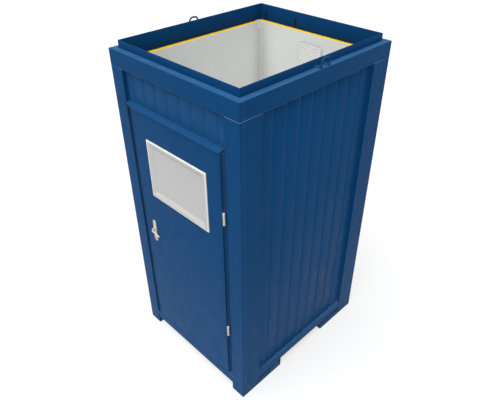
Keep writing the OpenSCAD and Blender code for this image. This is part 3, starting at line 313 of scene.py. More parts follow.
def plywood(colours):
    """Floor plywood: brown face with grain along X and thin plies on its edge."""
    r = Recipe("plywood", linear("#9A7A55"), 0.7)
    r.tint("#7A5A38", (r.grain(14, 6, stretch=(0.06, 1, 1)), 0.4, 0.7, 0.0, 0.7))
    # A wave texture of scale s repeats every pi / (10 s) metres, and two plies are one repeat
    ply = 2.4 * MM
    plies = r.node("ShaderNodeTexWave", {"Vector": r.place, "Scale": math.pi / (20 * ply)}, bands_direction="Z")
    r.tint("#5E4429", (plies, 0.5, 0.6, 0.0, 0.35))
    r.rough(r.grain(20), 0.6, 0.8)
    r.bump(r.grain(4, 4, stretch=(0.1, 1, 1)), 0.2, 0.5)
    return r.material


def grey_vinyl(colours):
    """Safety vinyl with light and dark chips and a pebbled grip."""
    r = Recipe("grey_vinyl", linear("#787D80"), 0.55)
    r.tint("#A7ABAD", (r.grain(5, 0, kind="Voronoi", output="Color"), 0.72, 0.74, 0.0, 0.6))
    r.tint("#4A4E51", (r.grain(3.4, 0, kind="Voronoi", output="Color"), 0.78, 0.80, 0.0, 0.7))
    # Trodden dirt, heaviest inside the door
    r.tint("#5A5348", (r.grain(90, 5), 0.45, 0.7), (r.axis("Y"), 0.2, -0.6, 0.05, 0.35))
    r.rough(r.grain(30), 0.45, 0.65)
    r.bump(r.grain(2.2, 0, kind="Voronoi"), 0.25, 0.5)
    return r.material


def white_pvc(colours):
    """Moulded and extruded white plastic."""
    r = Recipe("white_pvc", linear("#E6E5E1"), 0.33, Coat_Weight=0.15)
    r.tint("#CFC9B8", (r.grain(120, 3), 0.5, 0.8, 0.0, 0.10))
    r.rough(r.grain(50), 0.28, 0.42)
    r.bump(r.grain(6, 2, stretch=(1, 1, 0.2)), 0.02, 0.3)
    return r.material


def grille_pvc(colours):
    """Dulled plastic of the grille."""
    r = Recipe("grille_pvc", linear("#EAEAE9"), 0.5)
    r.tint("#BDBBB2", (r.grain(60, 3), 0.5, 0.8, 0.0, 0.12))
    # Painted shade on its top edge
    r.tint("#9C9C99", r.upward(), 0.8)
    r.rough(r.grain(40), 0.45, 0.6)
    r.bump(r.grain(6, 2), 0.02, 0.3)
    return r.material


def window_pvc(colours):
    """Weathered grey-white plastic, with a paler seal round its outer edge."""
    r = Recipe("window_pvc", colours.window, 0.36, Coat_Weight=0.1)
    r.tint("#AFAEA8", (r.grain(120, 3), 0.5, 0.8, 0.0, 0.10))
    low, high = span_of("window_frame")
    r.tint("#FBF7E6", (r.within(X=(low.x, high.x), Z=(low.z, high.z)), 9 * MM, 7 * MM, 0.0, 0.9))
    r.rough(r.grain(50), 0.3, 0.45)
    r.bump(r.grain(6, 2, stretch=(1, 1, 0.2)), 0.02, 0.3)
    return r.material


def obscure_glass(colours):
    """Milky glass with a fine stipple on its inner face."""
    r = Recipe("obscure_glass", colours.pane, 0.28, Specular_IOR_Level=0.6, Coat_Weight=0.5, Coat_Roughness=0.08)
    r.tint("#A9ADAD", (r.grain(300, 2), 0.4, 0.7, 0.0, 0.08))
    r.bump(r.grain(3, 0, kind="Voronoi"), 0.05, 0.3)
    return r.material


def cream_enamel(colours, name="cream_enamel"):
    """Powder coat on the door furniture."""
    r = Recipe(name, colours.furniture, 0.36, Coat_Weight=0.2)
    # Rubbed patches where hands and pins wear it
    r.tint("#A2998B", (r.grain(11, 5), 0.62, 0.72, 0.0, 0.35))
    if name == "hinge_enamel":
        # Beyond the knuckles, round the pin's axis, the straps are painted over with the door
        sides = [r.off(r.axis("X"), HINGE_AXIS.x), r.off(r.axis("Y"), HINGE_AXIS.y)]
        squares = [r.share(side, side) for side in sides]
        square = r.node("ShaderNodeMath", enumerate(squares), operation="ADD")
        r.tint(colours.paint, (r.node("ShaderNodeMath", {0: square}, operation="SQRT"), 8.4 * MM, 8.9 * MM))
    r.rough(r.grain(9), 0.3, 0.46)
    r.bump(r.grain(1.2, 2), 0.03, 0.3)
    return r.material


def hinge_enamel(colours):
    """Powder coat on the hinges."""
    return cream_enamel(colours, "hinge_enamel")


def satin_steel(colours):
    """Stainless and zinc-plated steel with a fine brushed grain."""
    r = Recipe("satin_steel", linear("#B9BBBE"), 0.34, Metallic=1.0)
    brushed = r.grain(2, 4, stretch=(1, 1, 0.03))
    r.tint("#94979B", (brushed, 0.4, 0.7, 0.0, 0.4))
    r.rough(brushed, 0.26, 0.44)
    r.bump(brushed, 0.02, 0.3)
    return r.material


def bright_chrome(colours):
    """Chrome plate with dried water spots."""
    r = Recipe("bright_chrome", linear("#DADCDF"), 0.08, Metallic=1.0)
    spots = (r.grain(4, 0, kind="Voronoi"), 0.32, 0.25)
    r.tint("#A9ABA8", spots, 0.18)
    r.rough(r.share(spots, r.grain(15)), 0.06, 0.3, 0.0, 0.6)
    return r.material


def nickel_brass(colours):
    """Nickel-plated brass of the lock cylinder, worn through in places."""
    r = Recipe("nickel_brass", linear("#C9C2AC"), 0.28, Metallic=1.0)
    r.tint("#B89A57", (r.grain(3, 4), 0.5, 0.65, 0.0, 0.8))
    r.rough(r.grain(2), 0.22, 0.4)
    return r.material


def white_china(colours):
    """Glazed vitreous china."""
    r = Recipe("white_china", linear("#EDEDEA"), 0.1, Coat_Weight=0.6, Coat_Roughness=0.04)
    # A breath of lime and dust on the glaze
    r.tint("#CFCBBE", (r.grain(70, 4), 0.5, 0.75, 0.0, 0.10))
    r.rough(r.grain(45), 0.07, 0.2)
    r.bump(r.grain(40, 1), 0.12, 0.25)
    return r.material


def white_seat(colours):
    """Moulded seat plastic with fine scratches."""
    r = Recipe("white_seat", linear("#E8E8E6"), 0.26, Coat_Weight=0.2)
    scratches = r.share((r.grain(1.6, 3, stretch=(0.05, 1, 1), turn=(0, 0, 0.5)), 0.62, 0.7))
    r.tint("#B9B9B4", scratches, 0.07)
    r.rough(r.grain(30), 0.2, 0.36)
    r.bump(scratches, 0.005, 0.15)
    return r.material


def silver_button(colours):
    """Metallised plastic of the flush button."""
    r = Recipe("silver_button", linear("#B6B8BB"), 0.22, Metallic=0.9)
    r.tint("#8F9194", (r.grain(6, 4), 0.5, 0.7, 0.0, 0.3))
    r.rough(r.grain(5), 0.18, 0.32)
    return r.material


def silvered_mirror(colours):
    """Float glass mirror: nearly clean, with the odd smear."""
    r = Recipe("silvered_mirror", linear("#D6DADB"), 0.02, Metallic=1.0)
    smears = r.share((r.grain(60, 4, stretch=(1, 1, 0.4)), 0.55, 0.75))
    r.rough(smears, 0.02, 0.12, 0.0, 1.0)
    r.tint("#AEB4B3", smears, 0.1)
    return r.material


def black_rubber(colours):
    """EPDM with a dusty bloom."""
    r = Recipe("black_rubber", linear("#0B1114"), 0.7, Specular_IOR_Level=0.2)
    r.tint("#2C3336", (r.grain(12, 4), 0.5, 0.75, 0.0, 0.15))
    r.rough(r.grain(8), 0.6, 0.85)
    r.bump(r.grain(1.5, 2), 0.06, 0.5)
    return r.material


def tissue_paper(colours):
    """Soft two-ply tissue with a small quilted dimple."""
    r = Recipe("tissue_paper", linear("#F1F0EC"), 0.95, Sheen_Weight=0.3)
    r.tint("#D9D7D0", (r.grain(2, 4), 0.5, 0.8, 0.0, 0.15))
    r.bump(r.grain(4, 0, kind="Voronoi"), 0.3, 0.5)
    r.bump(r.grain(0.8, 3), 0.1, 0.5)
    return r.material


def grey_pipe(colours):
    """Grey soil pipe plastic."""
    r = Recipe("grey_pipe", linear("#8F9193"), 0.42)
    r.tint("#7A7B7C", (r.grain(50, 4), 0.45, 0.7, 0.0, 0.25))
    r.rough(r.grain(20), 0.36, 0.55)
    r.bump(r.grain(5, 3, stretch=(1, 0.1, 1)), 0.05, 0.4)
    return r.material


FINISHES = {
    make.__name__: make
    for make in (
        gentian_blue_paint, white_lining_board, yellow_insulation, plywood, grey_vinyl, white_pvc, grille_pvc,
        window_pvc, obscure_glass, cream_enamel, hinge_enamel, satin_steel, bright_chrome, nickel_brass, white_china,
        white_seat, silver_button, silvered_mirror, black_rubber, tissue_paper, grey_pipe,
    )
}
SLOT_OF = {part["node"]: part["material_slot"] for part in frame["record"]["subparts"]}
# Finishes that vary one of the record's slots
HINGE_AXIS = joint_place("door_swing")
MADE = {}


def finish(name):
    """The material of a finish, made once."""
    if name not in MADE:
        MADE[name] = FINISHES[name](bpy.context.scene.cabin_colours)
    return MADE[name]


def dressed(*nodes):
    """Gives CAD nodes that stay as they are the material of their slot."""
    for node in nodes:
        mesh = NODES[node].data
        mesh.materials.clear()
        mesh.materials.append(finish(SLOT_OF[node]))


# Shapes


class Shape:
    """A mesh under construction, in metres, in the cabin's own frame."""

    def __init__(self):
        self.bm = bmesh.new()

    def copy_of(self, node):
        """The triangles of a CAD node, joined and with their flat faces whole."""
        self.bm.from_mesh(NODES[node].data)
        bmesh.ops.remove_doubles(self.bm, verts=self.bm.verts, dist=2 * SAME_POINT)
        bmesh.ops.dissolve_limit(self.bm, angle_limit=math.radians(0.4), verts=self.bm.verts, edges=self.bm.edges)
        return self

    def block(self, low, high):
        made = bmesh.ops.create_cube(self.bm, size=1)["verts"]
        low, high = Vector(low), Vector(high)
        for v in made:
            v.co = Vector(low[i] + (v.co[i] + 0.5) * (high[i] - low[i]) for i in range(3))
        return self

    def lofted(self, rings, caps=True):
        """Skins a list of rings that have the same number of points."""
        rows = [[self.bm.verts.new(p) for p in ring] for ring in rings]
        count = len(rows[0])
        for row, after in zip(rows, rows[1:]):
            for i in range(count):
                k = (i + 1) % count
                self.bm.faces.new((row[i], row[k], after[k], after[i]))
        if caps:
            self.bm.faces.new(list(reversed(rows[0])))
            self.bm.faces.new(rows[-1])
        return self

    def turned(self, profile, centre, axis="Z", steps=48, flip=False):
        """Turns (radius, height) points, in millimetres, round an axis through centre; a radius of 0 closes it."""
        angle, about = {"Z": (0, "X"), "Y": (-math.pi / 2, "X"), "X": (math.pi / 2, "Y")}[axis]
        turn = Matrix.Rotation(angle, 4, about)
        if flip:
            turn = turn @ Matrix.Rotation(math.pi, 4, "X")
        rings = []
        for radius, height in profile:
            ring = [(radius * math.cos(a), radius * math.sin(a), height)
                    for a in (2 * math.pi * i / steps for i in range(steps))]
            rings.append([Vector(centre) + turn @ (Vector(point) * MM) for point in ring])
        return self.lofted(rings, caps=False)

    def swept(self, points, radius, sides=16, smooth=0, section=None):
        """A rod or profile along a path; smooth rounds its corners by that length."""
        path = [Vector(p) for p in points]
        if smooth:
            rounded = [path[0]]
            for before, at, after in zip(path, path[1:], path[2:]):
                p = at + (before - at).normalized() * smooth
                q = at + (after - at).normalized() * smooth
                for k in range(7):
                    s = k / 6
                    rounded.append(p * (1 - s) ** 2 + at * 2 * s * (1 - s) + q * s * s)
            path = rounded + [path[-1]]
        way = (path[1] - path[0]).normalized()
        side = way.orthogonal().normalized() if abs(way.z) > 0.99 else way.cross(UP).normalized()
        circle = [(math.cos(2 * math.pi * k / sides), math.sin(2 * math.pi * k / sides)) for k in range(sides)]
        rings = []
        for i, p in enumerate(path):
            way = (path[min(i + 1, len(path) - 1)] - path[max(i - 1, 0)]).normalized()
            side = (side - way * side.dot(way)).normalized()
            over = way.cross(side)
            r = radius[i] if isinstance(radius, (list, tuple)) else radius
            rings.append([p + side * (u * r) + over * (v * r) for u, v in section or circle])
        return self.lofted(rings)

    def piece(self, name, finish_name, body="cabin", replaces=(), merge=True, **looks):
        """Ends the mesh as an object that rides on a body."""
        if merge:
            bmesh.ops.remove_doubles(self.bm, verts=self.bm.verts, dist=SAME_POINT)
        bmesh.ops.dissolve_degenerate(self.bm, dist=SAME_POINT / 2, edges=self.bm.edges)
        bmesh.ops.recalc_face_normals(self.bm, faces=self.bm.faces)
        mesh = bpy.data.meshes.new(name)
        self.bm.to_mesh(mesh)
        self.bm.free()
        obj = bpy.data.objects.new(name, mesh)
        bpy.context.scene.collection.objects.link(obj)
        return settled(obj, finish_name, body, replaces, **looks)


def settled(obj, finish_name, body, replaces=(), ease=0.0, segments=2, angle=30, subdivide=0):
    """Finishes a mesh object: material, smooth faces, eased edges, and its place in the frame."""
    mesh = obj.data
    mesh.materials.clear()
    mesh.materials.append(finish(finish_name))
    mesh.polygons.foreach_set("use_smooth", [True] * len(mesh.polygons))
    if not subdivide:
        mesh.set_sharp_from_angle(angle=math.radians(angle))
    if ease:
        bevel = obj.modifiers.new("Eased edges", "BEVEL")
        bevel.width, bevel.segments = ease, segments
        bevel.limit_method, bevel.angle_limit = "ANGLE", math.radians(angle)
        bevel.harden_normals = True
        bevel.use_clamp_overlap = True
    if subdivide:
        rounding = obj.modifiers.new("Subdivision", "SUBSURF")
        rounding.levels = rounding.render_levels = subdivide
    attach(obj, body)
    if replaces:
        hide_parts(*replaces)
    return obj


def eased(node, width, segments=2, angle=30, name=None, finish_name=None):
    """A CAD node's own form with its edges eased."""
    return Shape().copy_of(node).piece(
        name or node + "_eased", finish_name or SLOT_OF[node], BODY_OF[node], (node,),
        ease=width, segments=segments, angle=angle
    )


# Geometry Nodes


class Tree:
    """A Geometry Nodes group with named inputs of the given kinds."""

    def __init__(self, name, **inputs):
        self.group = bpy.data.node_groups.new(name, "GeometryNodeTree")
        face = self.group.interface
        for label, kind in {"Geometry": "Geometry", **inputs, "Material": "Material"}.items():
            face.new_socket(label, in_out="INPUT", socket_type="NodeSocket" + kind)
        face.new_socket("Geometry", in_out="OUTPUT", socket_type="NodeSocketGeometry")
        self.given = self.group.nodes.new("NodeGroupInput").outputs

    def node(self, kind, inputs=(), output=0, **settings):
        return add_node(self.group, kind, inputs, output, **settings)

    def end(self, geometry):
        """Realizes the instances, sets the material and closes the tree."""
        real = self.node("GeometryNodeRealizeInstances", {"Geometry": geometry})
        coat = self.node("GeometryNodeSetMaterial", {"Geometry": real, "Material": self.given["Material"]})
        self.node("NodeGroupOutput", {"Geometry": coat})
        return self.group


def fixings_tree(name):
    """Pan-head screws on points, which stand along each point's vector attribute out."""
    t = Tree(name, Radius="Float", Height="Float")
    radius, height = t.given["Radius"], t.given["Height"]
    top, drive = (t.node("ShaderNodeMath", {0: radius, 1: part}, operation="MULTIPLY") for part in (0.72, 0.36))
    head = t.node("GeometryNodeMeshCone", {
        "Vertices": 16, "Radius Top": top, "Radius Bottom": radius, "Depth": height})
    hexagon = t.node("GeometryNodeMeshCylinder", {"Vertices": 6, "Radius": drive, "Depth": height})
    lifted = t.node("GeometryNodeTransform", {
        "Geometry": hexagon, "Translation": t.node("ShaderNodeCombineXYZ", {"Z": height})})
    bored = t.node("GeometryNodeMeshBoolean", {"Mesh 1": head, "Mesh 2": lifted}, operation="DIFFERENCE")
    out = t.node("GeometryNodeInputNamedAttribute", {"Name": "out"}, data_type="FLOAT_VECTOR")
    aligned = t.node("FunctionNodeAlignEulerToVector", {"Vector": out}, axis="Z")
    return t.end(t.node("GeometryNodeInstanceOnPoints", {
        "Points": t.given["Geometry"], "Instance": bored, "Rotation": aligned}))


def weld_tree(name):
    """A rippled weld bead along the edges of a path."""
    t = Tree(name, Radius="Float", Ripple="Float")
    line = t.node("GeometryNodeMeshToCurve", {"Mesh": t.given["Geometry"]})
    third = t.node("ShaderNodeMath", {0: t.given["Ripple"], 1: 3.0}, operation="DIVIDE")
    even = t.node("GeometryNodeResampleCurve", {"Curve": line, "Length": third}, mode="LENGTH")
    travel = t.node("GeometryNodeSplineParameter", output="Length")
    turns = t.node("ShaderNodeMath", {0: travel, 1: t.given["Ripple"]}, operation="DIVIDE")
    angle = t.node("ShaderNodeMath", {0: turns, 1: 2 * math.pi}, operation="MULTIPLY")
    swing = t.node("ShaderNodeMath", {0: angle}, operation="SINE")
    swell = t.node("ShaderNodeMath", {0: swing, 1: 0.12, 2: 0.95}, operation="MULTIPLY_ADD")
    width = t.node("ShaderNodeMath", {0: swell, 1: t.given["Radius"]}, operation="MULTIPLY")
    ring = t.node("GeometryNodeCurvePrimitiveCircle", {"Resolution": 8, "Radius": 1.0})
    bead = t.node("GeometryNodeCurveToMesh", {
        "Curve": even, "Profile Curve": ring, "Scale": width, "Fill Caps": True})
    return t.end(t.node("GeometryNodeSetShadeSmooth", {"Geometry": bead}))


def screen_tree(name):
    """A woven insect screen in the XZ plane, centred on the origin."""
    t = Tree(name, Size="Float", Wires="Int", Gauge="Float")
    half = t.node("ShaderNodeMath", {0: t.given["Size"], 1: 0.5}, operation="MULTIPLY")
    minus = t.node("ShaderNodeMath", {0: half, 1: -1.0}, operation="MULTIPLY")
    rows = []
    for along, across in (("X", "Z"), ("Z", "X")):
        start, end, low, high = (
            t.node("ShaderNodeCombineXYZ", {letter: reach})
            for letter, reach in ((along, minus), (along, half), (across, minus), (across, half))
        )
        wire = t.node("GeometryNodeCurvePrimitiveLine", {"Start": start, "End": end})
        ring = t.node("GeometryNodeCurvePrimitiveCircle", {"Resolution": 4, "Radius": t.given["Gauge"]})
        rod = t.node("GeometryNodeCurveToMesh", {"Curve": wire, "Profile Curve": ring})
        row = t.node("GeometryNodeMeshLine", {
            "Count": t.given["Wires"], "Start Location": low, "Offset": high}, mode="END_POINTS")
        rows.append(t.node("GeometryNodeInstanceOnPoints", {"Points": row, "Instance": rod}))
    return t.end(t.node("GeometryNodeJoinGeometry", {0: rows}))


def louvre_tree(name):
    """Sloping blades one above the other, centred on the origin."""
    t = Tree(name, Blades="Int", Pitch="Float", Length="Float", Chord="Float", Slope="Float")
    thick = 0.9 * MM
    size = t.node("ShaderNodeCombineXYZ", {"X": t.given["Length"], "Y": t.given["Chord"], "Z": thick})
    blade = t.node("GeometryNodeTransform", {
        "Geometry": t.node("GeometryNodeMeshCube", {"Size": size}),
        "Rotation": t.node("ShaderNodeCombineXYZ", {"X": t.given["Slope"]})})
    gaps = t.node("ShaderNodeMath", {0: t.given["Blades"], 1: 1.0}, operation="SUBTRACT")
    whole = t.node("ShaderNodeMath", {0: gaps, 1: t.given["Pitch"]}, operation="MULTIPLY")
    low = t.node("ShaderNodeMath", {0: whole, 1: -0.5}, operation="MULTIPLY")
    row = t.node("GeometryNodeMeshLine", {
        "Count": t.given["Blades"], "Start Location": t.node("ShaderNodeCombineXYZ", {"Z": low}),
        "Offset": t.node("ShaderNodeCombineXYZ", {"Z": t.given["Pitch"]})})
    return t.end(t.node("GeometryNodeInstanceOnPoints", {"Points": row, "Instance": blade}))


def grown(name, source, make_tree, values, finish_name, body, shift=(0, 0, 0)):
    """Runs a tree on a source mesh and keeps the result as a plain piece."""
    label = "Cabin " + make_tree.__name__
    tree = bpy.data.node_groups.get(label) or make_tree(label)
    holder = bpy.data.objects.new(name + "_source", source)
    bpy.context.scene.collection.objects.link(holder)
    step = holder.modifiers.new("Tree", "NODES")
    step.node_group = tree
    values = dict(values, Material=finish(finish_name))
    for item in tree.interface.items_tree:
        if item.in_out == "INPUT" and item.name in values:
            step[item.identifier] = values[item.name]
    shown = holder.evaluated_get(bpy.context.evaluated_depsgraph_get())
    mesh = bpy.data.meshes.new_from_object(shown)
    bpy.data.objects.remove(holder)
    mesh.transform(Matrix.Translation(shift))
    obj = bpy.data.objects.new(name, mesh)
    bpy.context.scene.collection.objects.link(obj)
    return settled(obj, finish_name, body)


def screws(name, points, body, finish_name="satin_steel", radius=None):
    """Screw heads at (place, outward direction) pairs."""
    size = radius or bpy.context.scene.cabin_sizes.screw
    mesh = bpy.data.meshes.new(name)
    height = size * 0.55
    mesh.from_pydata([Vector(p) + Vector(out) * height * 0.4 for p, out in points], [], [])
    facing = mesh.attributes.new("out", "FLOAT_VECTOR", "POINT")
    facing.data.foreach_set("vector", [c for _, out in points for c in out])
    return grown(name, mesh, fixings_tree, {"Radius": size, "Height": height}, finish_name, body)


def welds(name, paths, radius=None):
    """Weld beads along a list of open paths."""
    sizes = bpy.context.scene.cabin_sizes
    mesh = bpy.data.meshes.new(name)
    points, edges = [], []
    for path in paths:
        edges += [(len(points) + i, len(points) + i + 1) for i in range(len(path) - 1)]
        points += path
    mesh.from_pydata(points, edges, [])
    values = {"Radius": radius or sizes.weld, "Ripple": sizes.ripple}
    return grown(name, mesh, weld_tree, values, "gentian_blue_paint", "cabin")


def span_of(node):
    """A node's lowest and highest corners as vectors."""
    low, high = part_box(node)
    return Vector(low), Vector(high)


# Pieces


class CabinPiece:
    """What every operator here shares."""

    bl_options = {"REGISTER", "UNDO"}

    @property
    def sizes(self):
        return bpy.context.scene.cabin_sizes


class CABIN_OT_roof_frame(CabinPiece, bpy.types.Operator):
    """Folded roof rails, the upstand and the welds in its corners"""

    bl_idname = "cabin.roof_frame"
    bl_label = "Roof frame"

    def execute(self, context):
        for node in ("roof_rails_end", "roof_rails_side"):
            eased(node, self.sizes.fold, 3)
        eased("roof_upstand", self.sizes.sheet_fold)
        low, high = span_of("roof_upstand")
        top = span_of("roof_rails_end")[1].z
        corners = [(x, y) for x in (low.x, high.x) for y in (low.y, high.y)]
        welds("upstand_corner_welds", [[(x, y, top), (x, y, high.z - 3 * MM)] for x, y in corners], radius=1.6 * MM)
        return {"FINISHED"}


class CABIN_OT_lifting_eyes(CabinPiece, bpy.types.Operator):
    """Bent-rod lifting eyes welded to the upstand"""

    bl_idname = "cabin.lifting_eyes"
    bl_label = "Lifting eyes"

    def execute(self, context):
        low, high = span_of("lifting_eyes")
        ledge = span_of("roof_rails_end")[1].z
        root = span_of("roof_upstand")[1].x
        mid = (low.y + high.y) / 2
        r = 6 * MM
        out, half, top = high.x - r, (high.y - low.y) / 2 - r, 20 * MM
        shape, beads = Shape(), []
        for side in (1, -1):
            leg = [(root, half, r), (out, half, r), (out, half, 40 * MM), (out, top, high.z - r - ledge)]
            loop = leg + [(x, -y, z) for x, y, z in reversed(leg)]
            shape.swept([(side * x, mid + y, ledge + z) for x, y, z in loop], r, smooth=9 * MM)
            x, round_rod = side * (root + 1 * MM), 1.1 * r
            for y in (mid + half, mid - half):
                angles = [math.pi * k / 8 for k in range(-3, 12)]
                beads.append([(x, y + round_rod * math.cos(a), ledge + r + round_rod * math.sin(a)) for a in angles])
        shape.piece("lifting_eye_rods", "gentian_blue_paint", replaces=("lifting_eyes",))
        welds("lifting_eye_welds", beads, radius=2 * MM)
        return {"FINISHED"}


class CABIN_OT_posts(CabinPiece, bpy.types.Operator):
    """Folded corner posts"""

    bl_idname = "cabin.posts"
    bl_label = "Corner posts"

    def execute(self, context):
        for node in ("posts_front", "posts_back"):
            eased(node, self.sizes.fold, 3)
        return {"FINISHED"}


class CABIN_OT_base(CabinPiece, bpy.types.Operator):
    """Base rails, sill, joists and skid feet, with their welds"""

    bl_idname = "cabin.base"
    bl_label = "Base frame"

    def execute(self, context):
        for node in ("sill_front", "base_rail_back", "base_rails_side", "skid_feet"):
            eased(node, self.sizes.fold, 3)
        eased("floor_joists", self.sizes.fold)
        low, high = span_of("skid_feet")
        foot = 259 * MM
        paths = []
        for side in (1, -1):
            web = side * (high.x - 38 * MM)
            for y0, y1 in ((low.y, low.y + foot), (high.y - foot, high.y)):
                paths += [[(web, y0 + 4 * MM, z), (web, y1 - 4 * MM, z)] for z in (8 * MM, high.z)]
        welds("foot_welds", paths)
        return {"FINISHED"}


class CABIN_OT_wall_sheets(CabinPiece, bpy.types.Operator):
    """Grooved wall sheets"""

    bl_idname = "cabin.wall_sheets"
    bl_label = "Wall sheets"

    def execute(self, context):
        for node in ("skin_sides", "skin_back", "skin_front"):
            eased(node, self.sizes.sheet_fold, 2, 20)
        return {"FINISHED"}


class CABIN_OT_insulation(CabinPiece, bpy.types.Operator):
    """Mineral wool in the walls, with a loose upper edge"""

    bl_idname = "cabin.insulation"
    bl_label = "Wall insulation"

    def execute(self, context):
        wool = Shape().copy_of("wall_insulation")
        wool.piece("wall_wool", "yellow_insulation", replaces=("wall_insulation",), angle=60)
        self.lap()
        dressed("door_core")
        return {"FINISHED"}

    def lap(self):
        """The wool's loose upper edge, which laps over the boards and stops at the cable conduit."""
        top = span_of("wall_insulation")[1].z
        board_x, board_low = span_of("lining_sides")[1].x, span_of("lining_front")[0].y
        board_high = span_of("lining_back")[1].y
        start = span_of("cable_conduit")[0].y - 6 * MM
        over, under = 6.5 * MM, span_of("roof_upstand")[1].x - board_x - 3.5 * MM
        section = ((-over, 0), (-over, 0.8), (0, 2.4), (under * 0.5, 3.0), (under, 2.2), (under, 0))
        noise.seed_set(self.sizes.wool_seed)
        rings = []
        corners = ((-1, start, 0), (-1, board_low, -1), (1, board_low, -1), (1, board_high, 1), (-1, board_high, 1))
        for (sx0, y0, out0), (sx1, y1, out1) in zip(corners, corners[1:]):
            count = int((Vector((sx0 * board_x, y0)) - Vector((sx1 * board_x, y1))).length / (9 * MM))
            for i in range(count + 1):
                ring = []
                for u, rise in section:
                    a = Vector((sx0 * (board_x + u), y0 + out0 * u, top))
                    b = Vector((sx1 * (board_x + u), y1 + out1 * u, top))
                    p = a.lerp(b, i / count)
                    lump = noise.noise(p * 45) + 0.5 * noise.noise(p * 130)
                    p.z += (0.1 + rise * (0.75 + 0.5 * lump)) * MM
                    ring.append(p)
                if not rings or (ring[2] - rings[-1][2]).length > 1 * MM:
                    rings.append(ring)
        Shape().lofted(rings).piece("wool_lap", "yellow_insulation", angle=60)


class CABIN_OT_linings(CabinPiece, bpy.types.Operator):
    """White lining boards with their screws and corner beads"""

    bl_idname = "cabin.linings"
    bl_label = "Lining boards"

    def execute(self, context):
        for node in ("lining_sides", "lining_back", "lining_front"):
            eased(node, 0.8 * MM)
        room = span_of("floor_covering")
        x1, y0, y1 = room[1].x, span_of("lining_front")[1].y, span_of("lining_back")[0].y
        floor, top = room[1].z, span_of("lining_back")[1].z
        edge = 90 * MM
        spots = []
        for z in (floor + 120 * MM, floor + 850 * MM, floor + 1550 * MM, top - 120 * MM):
            for k in range(4):
                y = y0 + edge + k * (y1 - y0 - 2 * edge) / 3
                spots += [((-x1, y, z), (1, 0, 0)), ((x1, y, z), (-1, 0, 0))]
            spots += [((x * MM, y1, z), (0, -1, 0)) for x in (-440, -220, 220, 440)]
        kept = [spot for spot in spots if not self.hidden(spot[0])]
        screws("lining_screws", kept, "cabin", "white_pvc", radius=3.4 * MM)
        bead = Shape()
        r = 9 * MM
        for x, y, sx, sy in ((-x1, y1, 1, -1), (x1, y1, -1, -1), (-x1, y0, 1, 1), (x1, y0, -1, 1)):
            arc = [(x, y), (x + sx * r, y)]
            arc += [(x + sx * r * (1 - math.sin(a)), y + sy * r * (1 - math.cos(a))) for a in (0.4, 0.8, 1.2)]
            arc.append((x, y + sy * r))
            bead.lofted([[(px, py, z) for px, py in arc] for z in (floor, top)])
        bead.piece("corner_beads", "white_lining_board", angle=50)
        return {"FINISHED"}

    @staticmethod
    def hidden(place):
        """True where a fitting stands in front of a lining screw."""
        for node in ("cistern", "washbasin", "wall_mirror", "vent_grille", "roll_holder", "wc_lid", "basin_trap"):
            low, high = span_of(node)
            if all(low[i] - 20 * MM < place[i] < high[i] + 20 * MM for i in range(3)):
                return True
        return False


class CABIN_OT_floor(CabinPiece, bpy.types.Operator):
    """Floor deck and vinyl turned up at the walls"""

    bl_idname = "cabin.floor"
    bl_label = "Floor"

    def execute(self, context):
        dressed("floor_deck")
        high = span_of("floor_covering")[1]
        y0, y1, x, z = span_of("lining_front")[1].y, high.y, high.x, high.z
        door = span_of("door_frame")[1].x
        cove = [(0, 60), (2.5, 60), (3, 18), (8, 6), (18, 0.3), (18, -2), (0, -2)]
        route = [(-door, y0, 0, 1), (-x, y0, 1, 1), (-x, y1, 1, -1)]
        route += [(x, y1, -1, -1), (x, y0, -1, 1), (door, y0, 0, 1)]
        rings = [[(px + sx * u * MM, py + sy * u * MM, z + v * MM) for u, v in cove] for px, py, sx, sy in route]
        shape = Shape().copy_of("floor_covering")
        shape.lofted(rings)
        shape.piece("vinyl_floor", "grey_vinyl", replaces=("floor_covering",), merge=False, angle=35)
        return {"FINISHED"}


class CABIN_OT_door_frame(CabinPiece, bpy.types.Operator):
    """Door frame, strike plate and drip ledge"""

    bl_idname = "cabin.door_frame"
    bl_label = "Door frame"

    def execute(self, context):
        eased("door_frame", self.sizes.fold)
        eased("drip_ledge", 0.9 * MM)
        low, high = span_of("drip_ledge")
        seam = [(x, high.y + 1 * MM, high.z - 1 * MM) for x in (low.x + 4 * MM, high.x - 4 * MM)]
        welds("drip_ledge_weld", [seam], radius=4.5 * MM)
        eased("strike_plate", 0.4 * MM)
        low, high = span_of("strike_plate")
        mid = (low.y + high.y) / 2
        spots = [((high.x, mid, z), (1, 0, 0)) for z in (low.z + 11 * MM, high.z - 11 * MM)]
        screws("strike_screws", spots, "cabin", radius=3.5 * MM)
        return {"FINISHED"}


class CABIN_OT_door_leaf(CabinPiece, bpy.types.Operator):
    """Door leaf of two folded sheets, with its seal"""

    bl_idname = "cabin.door_leaf"
    bl_label = "Door leaf"

    def execute(self, context):
        eased("door_skin_outer", self.sizes.sheet_fold, 3)
        eased("door_skin_inner", self.sizes.sheet_fold, 2)
        eased("door_seal", 0.7 * MM)
        return {"FINISHED"}


